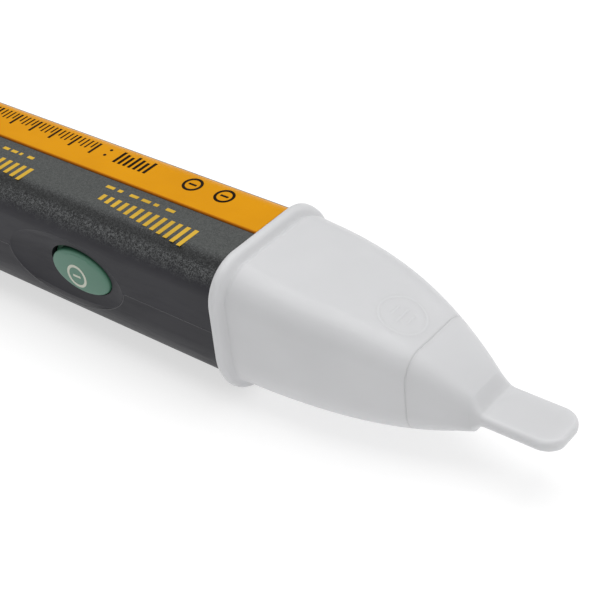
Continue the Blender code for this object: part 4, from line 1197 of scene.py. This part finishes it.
for name, node, pts, radius, mat, slot in (
    ("antenna_wire", "antenna_lead", [(3.2, -1.55, 18.6), (8, -0.6, 18.9), (16, 1.6, 18.3), (24, 2.2, 15.6), (30, 0.9, 12.9), (33.9, 0, 11.35)], 0.4, RED_WIRE, "red_wire"),
    ("positive_wire", "positive_lead", [(-36.6, -4.6, 20.2), (-34.5, -4.9, 20.3), (-31.5, -4.4, 20.4), (-29.5, -3.8, 20.4)], 0.45, RED_WIRE, "red_wire"),
    ("negative_wire", "negative_lead", [(-36.6, 1.6, 9.3), (-33.0, 0.9, 8.7), (-29.0, -0.6, 8.2), (-26.5, -1.65, 7.9)], 0.45, BLACK_WIRE, "black_wire"),
):
    place(tube(name, smooth_path(pts, 60), radius, mat, 16), "case", slot, node)

# ------------------------------------------------------------------ carried-over CAD pieces get their finishes
for node, mat in {
    "nose_gasket": RUBBER, "cap_seal": RUBBER, "circuit_board": BOARD, "switch_base": BLACK,
    "switch_plunger": RED_PLASTIC, "led_lamp": RED_LENS, "light_guide": CLEAR, "buzzer_case": BLACK, "sensor_antenna": COPPER,
    "controller_chip": BLACK, "filter_capacitor": STEEL, "sense_resistor": BEIGE, "cell_carrier": BLACK,
    "front_contact_plate": NICKEL, "bridge_contact": NICKEL,
}.items():
    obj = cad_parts[node]
    if not obj.material_slots:
        obj.data.materials.append(mat)
    for s in obj.material_slots:
        s.material = mat

# ------------------------------------------------------------------ stage, light, camera
floor_mat, floor_tree, floor_shader = new_material("studio_floor")
fg = Graph(floor_tree)
fg.link(fg.mix(fg.ramp(fg.noise(6.0, 3.0), 0.3, 0.7), (0.44, 0.44, 0.44), (0.46, 0.46, 0.46)), floor_shader.inputs["Base Color"])
floor_shader.inputs["Roughness"].default_value = 0.9
floor_shader.inputs["Specular IOR Level"].default_value = 0.1
floor_shader.inputs["Emission Color"].default_value = (1.0, 1.0, 1.0, 1.0)
floor_shader.inputs["Emission Strength"].default_value = 0.62
floor = link_mesh("floor", [(-3000, -3000, 0), (3000, -3000, 0), (3000, 3000, 0), (-3000, 3000, 0)], [(0, 1, 2, 3)], floor_mat)
floor.location.z = -0.00002

world = bpy.data.worlds.new("studio")
bpy.context.scene.world = world
world.use_nodes = True
world.node_tree.nodes["Background"].inputs["Color"].default_value = (1.0, 1.0, 1.0, 1.0)
world.node_tree.nodes["Background"].inputs["Strength"].default_value = 0.40


def area_light(name, location, target, size, power, colour=(1, 1, 1)):
    data = bpy.data.lights.new(name, "AREA")
    data.shape = "RECTANGLE"
    data.size, data.size_y = size
    data.energy = power
    data.color = colour
    lamp = bpy.data.objects.new(name, data)
    lamp.location = location
    lamp.rotation_euler = (Vector(target) - Vector(location)).to_track_quat("-Z", "Y").to_euler()
    bpy.context.scene.collection.objects.link(lamp)
    return lamp


area_light("key", (-0.05, 0.15, 1.2), (-0.02, 0.0, 0.01), (1.3, 1.3), 12.6)
area_light("front", (1.0, 0.1, 0.6), (0.0, 0.0, 0.01), (0.8, 0.8), 2.2)

camera = bpy.data.cameras.new("camera")
camera.sensor_width = 36.0
camera.lens = 90.057
camera.clip_start = 0.01
camera.clip_end = 20.0
cam = bpy.data.objects.new("camera", camera)
cam.matrix_world = Matrix((
    (0.786501, -0.318241, 0.529281, 0.122127),
    (0.612249, 0.514233, -0.600596, -0.132257),
    (-0.081039, 0.796422, 0.599287, 0.147833),
    (0, 0, 0, 1),
))
bpy.context.scene.collection.objects.link(cam)
bpy.context.scene.camera = cam
bpy.context.scene.view_settings.view_transform = "Standard"
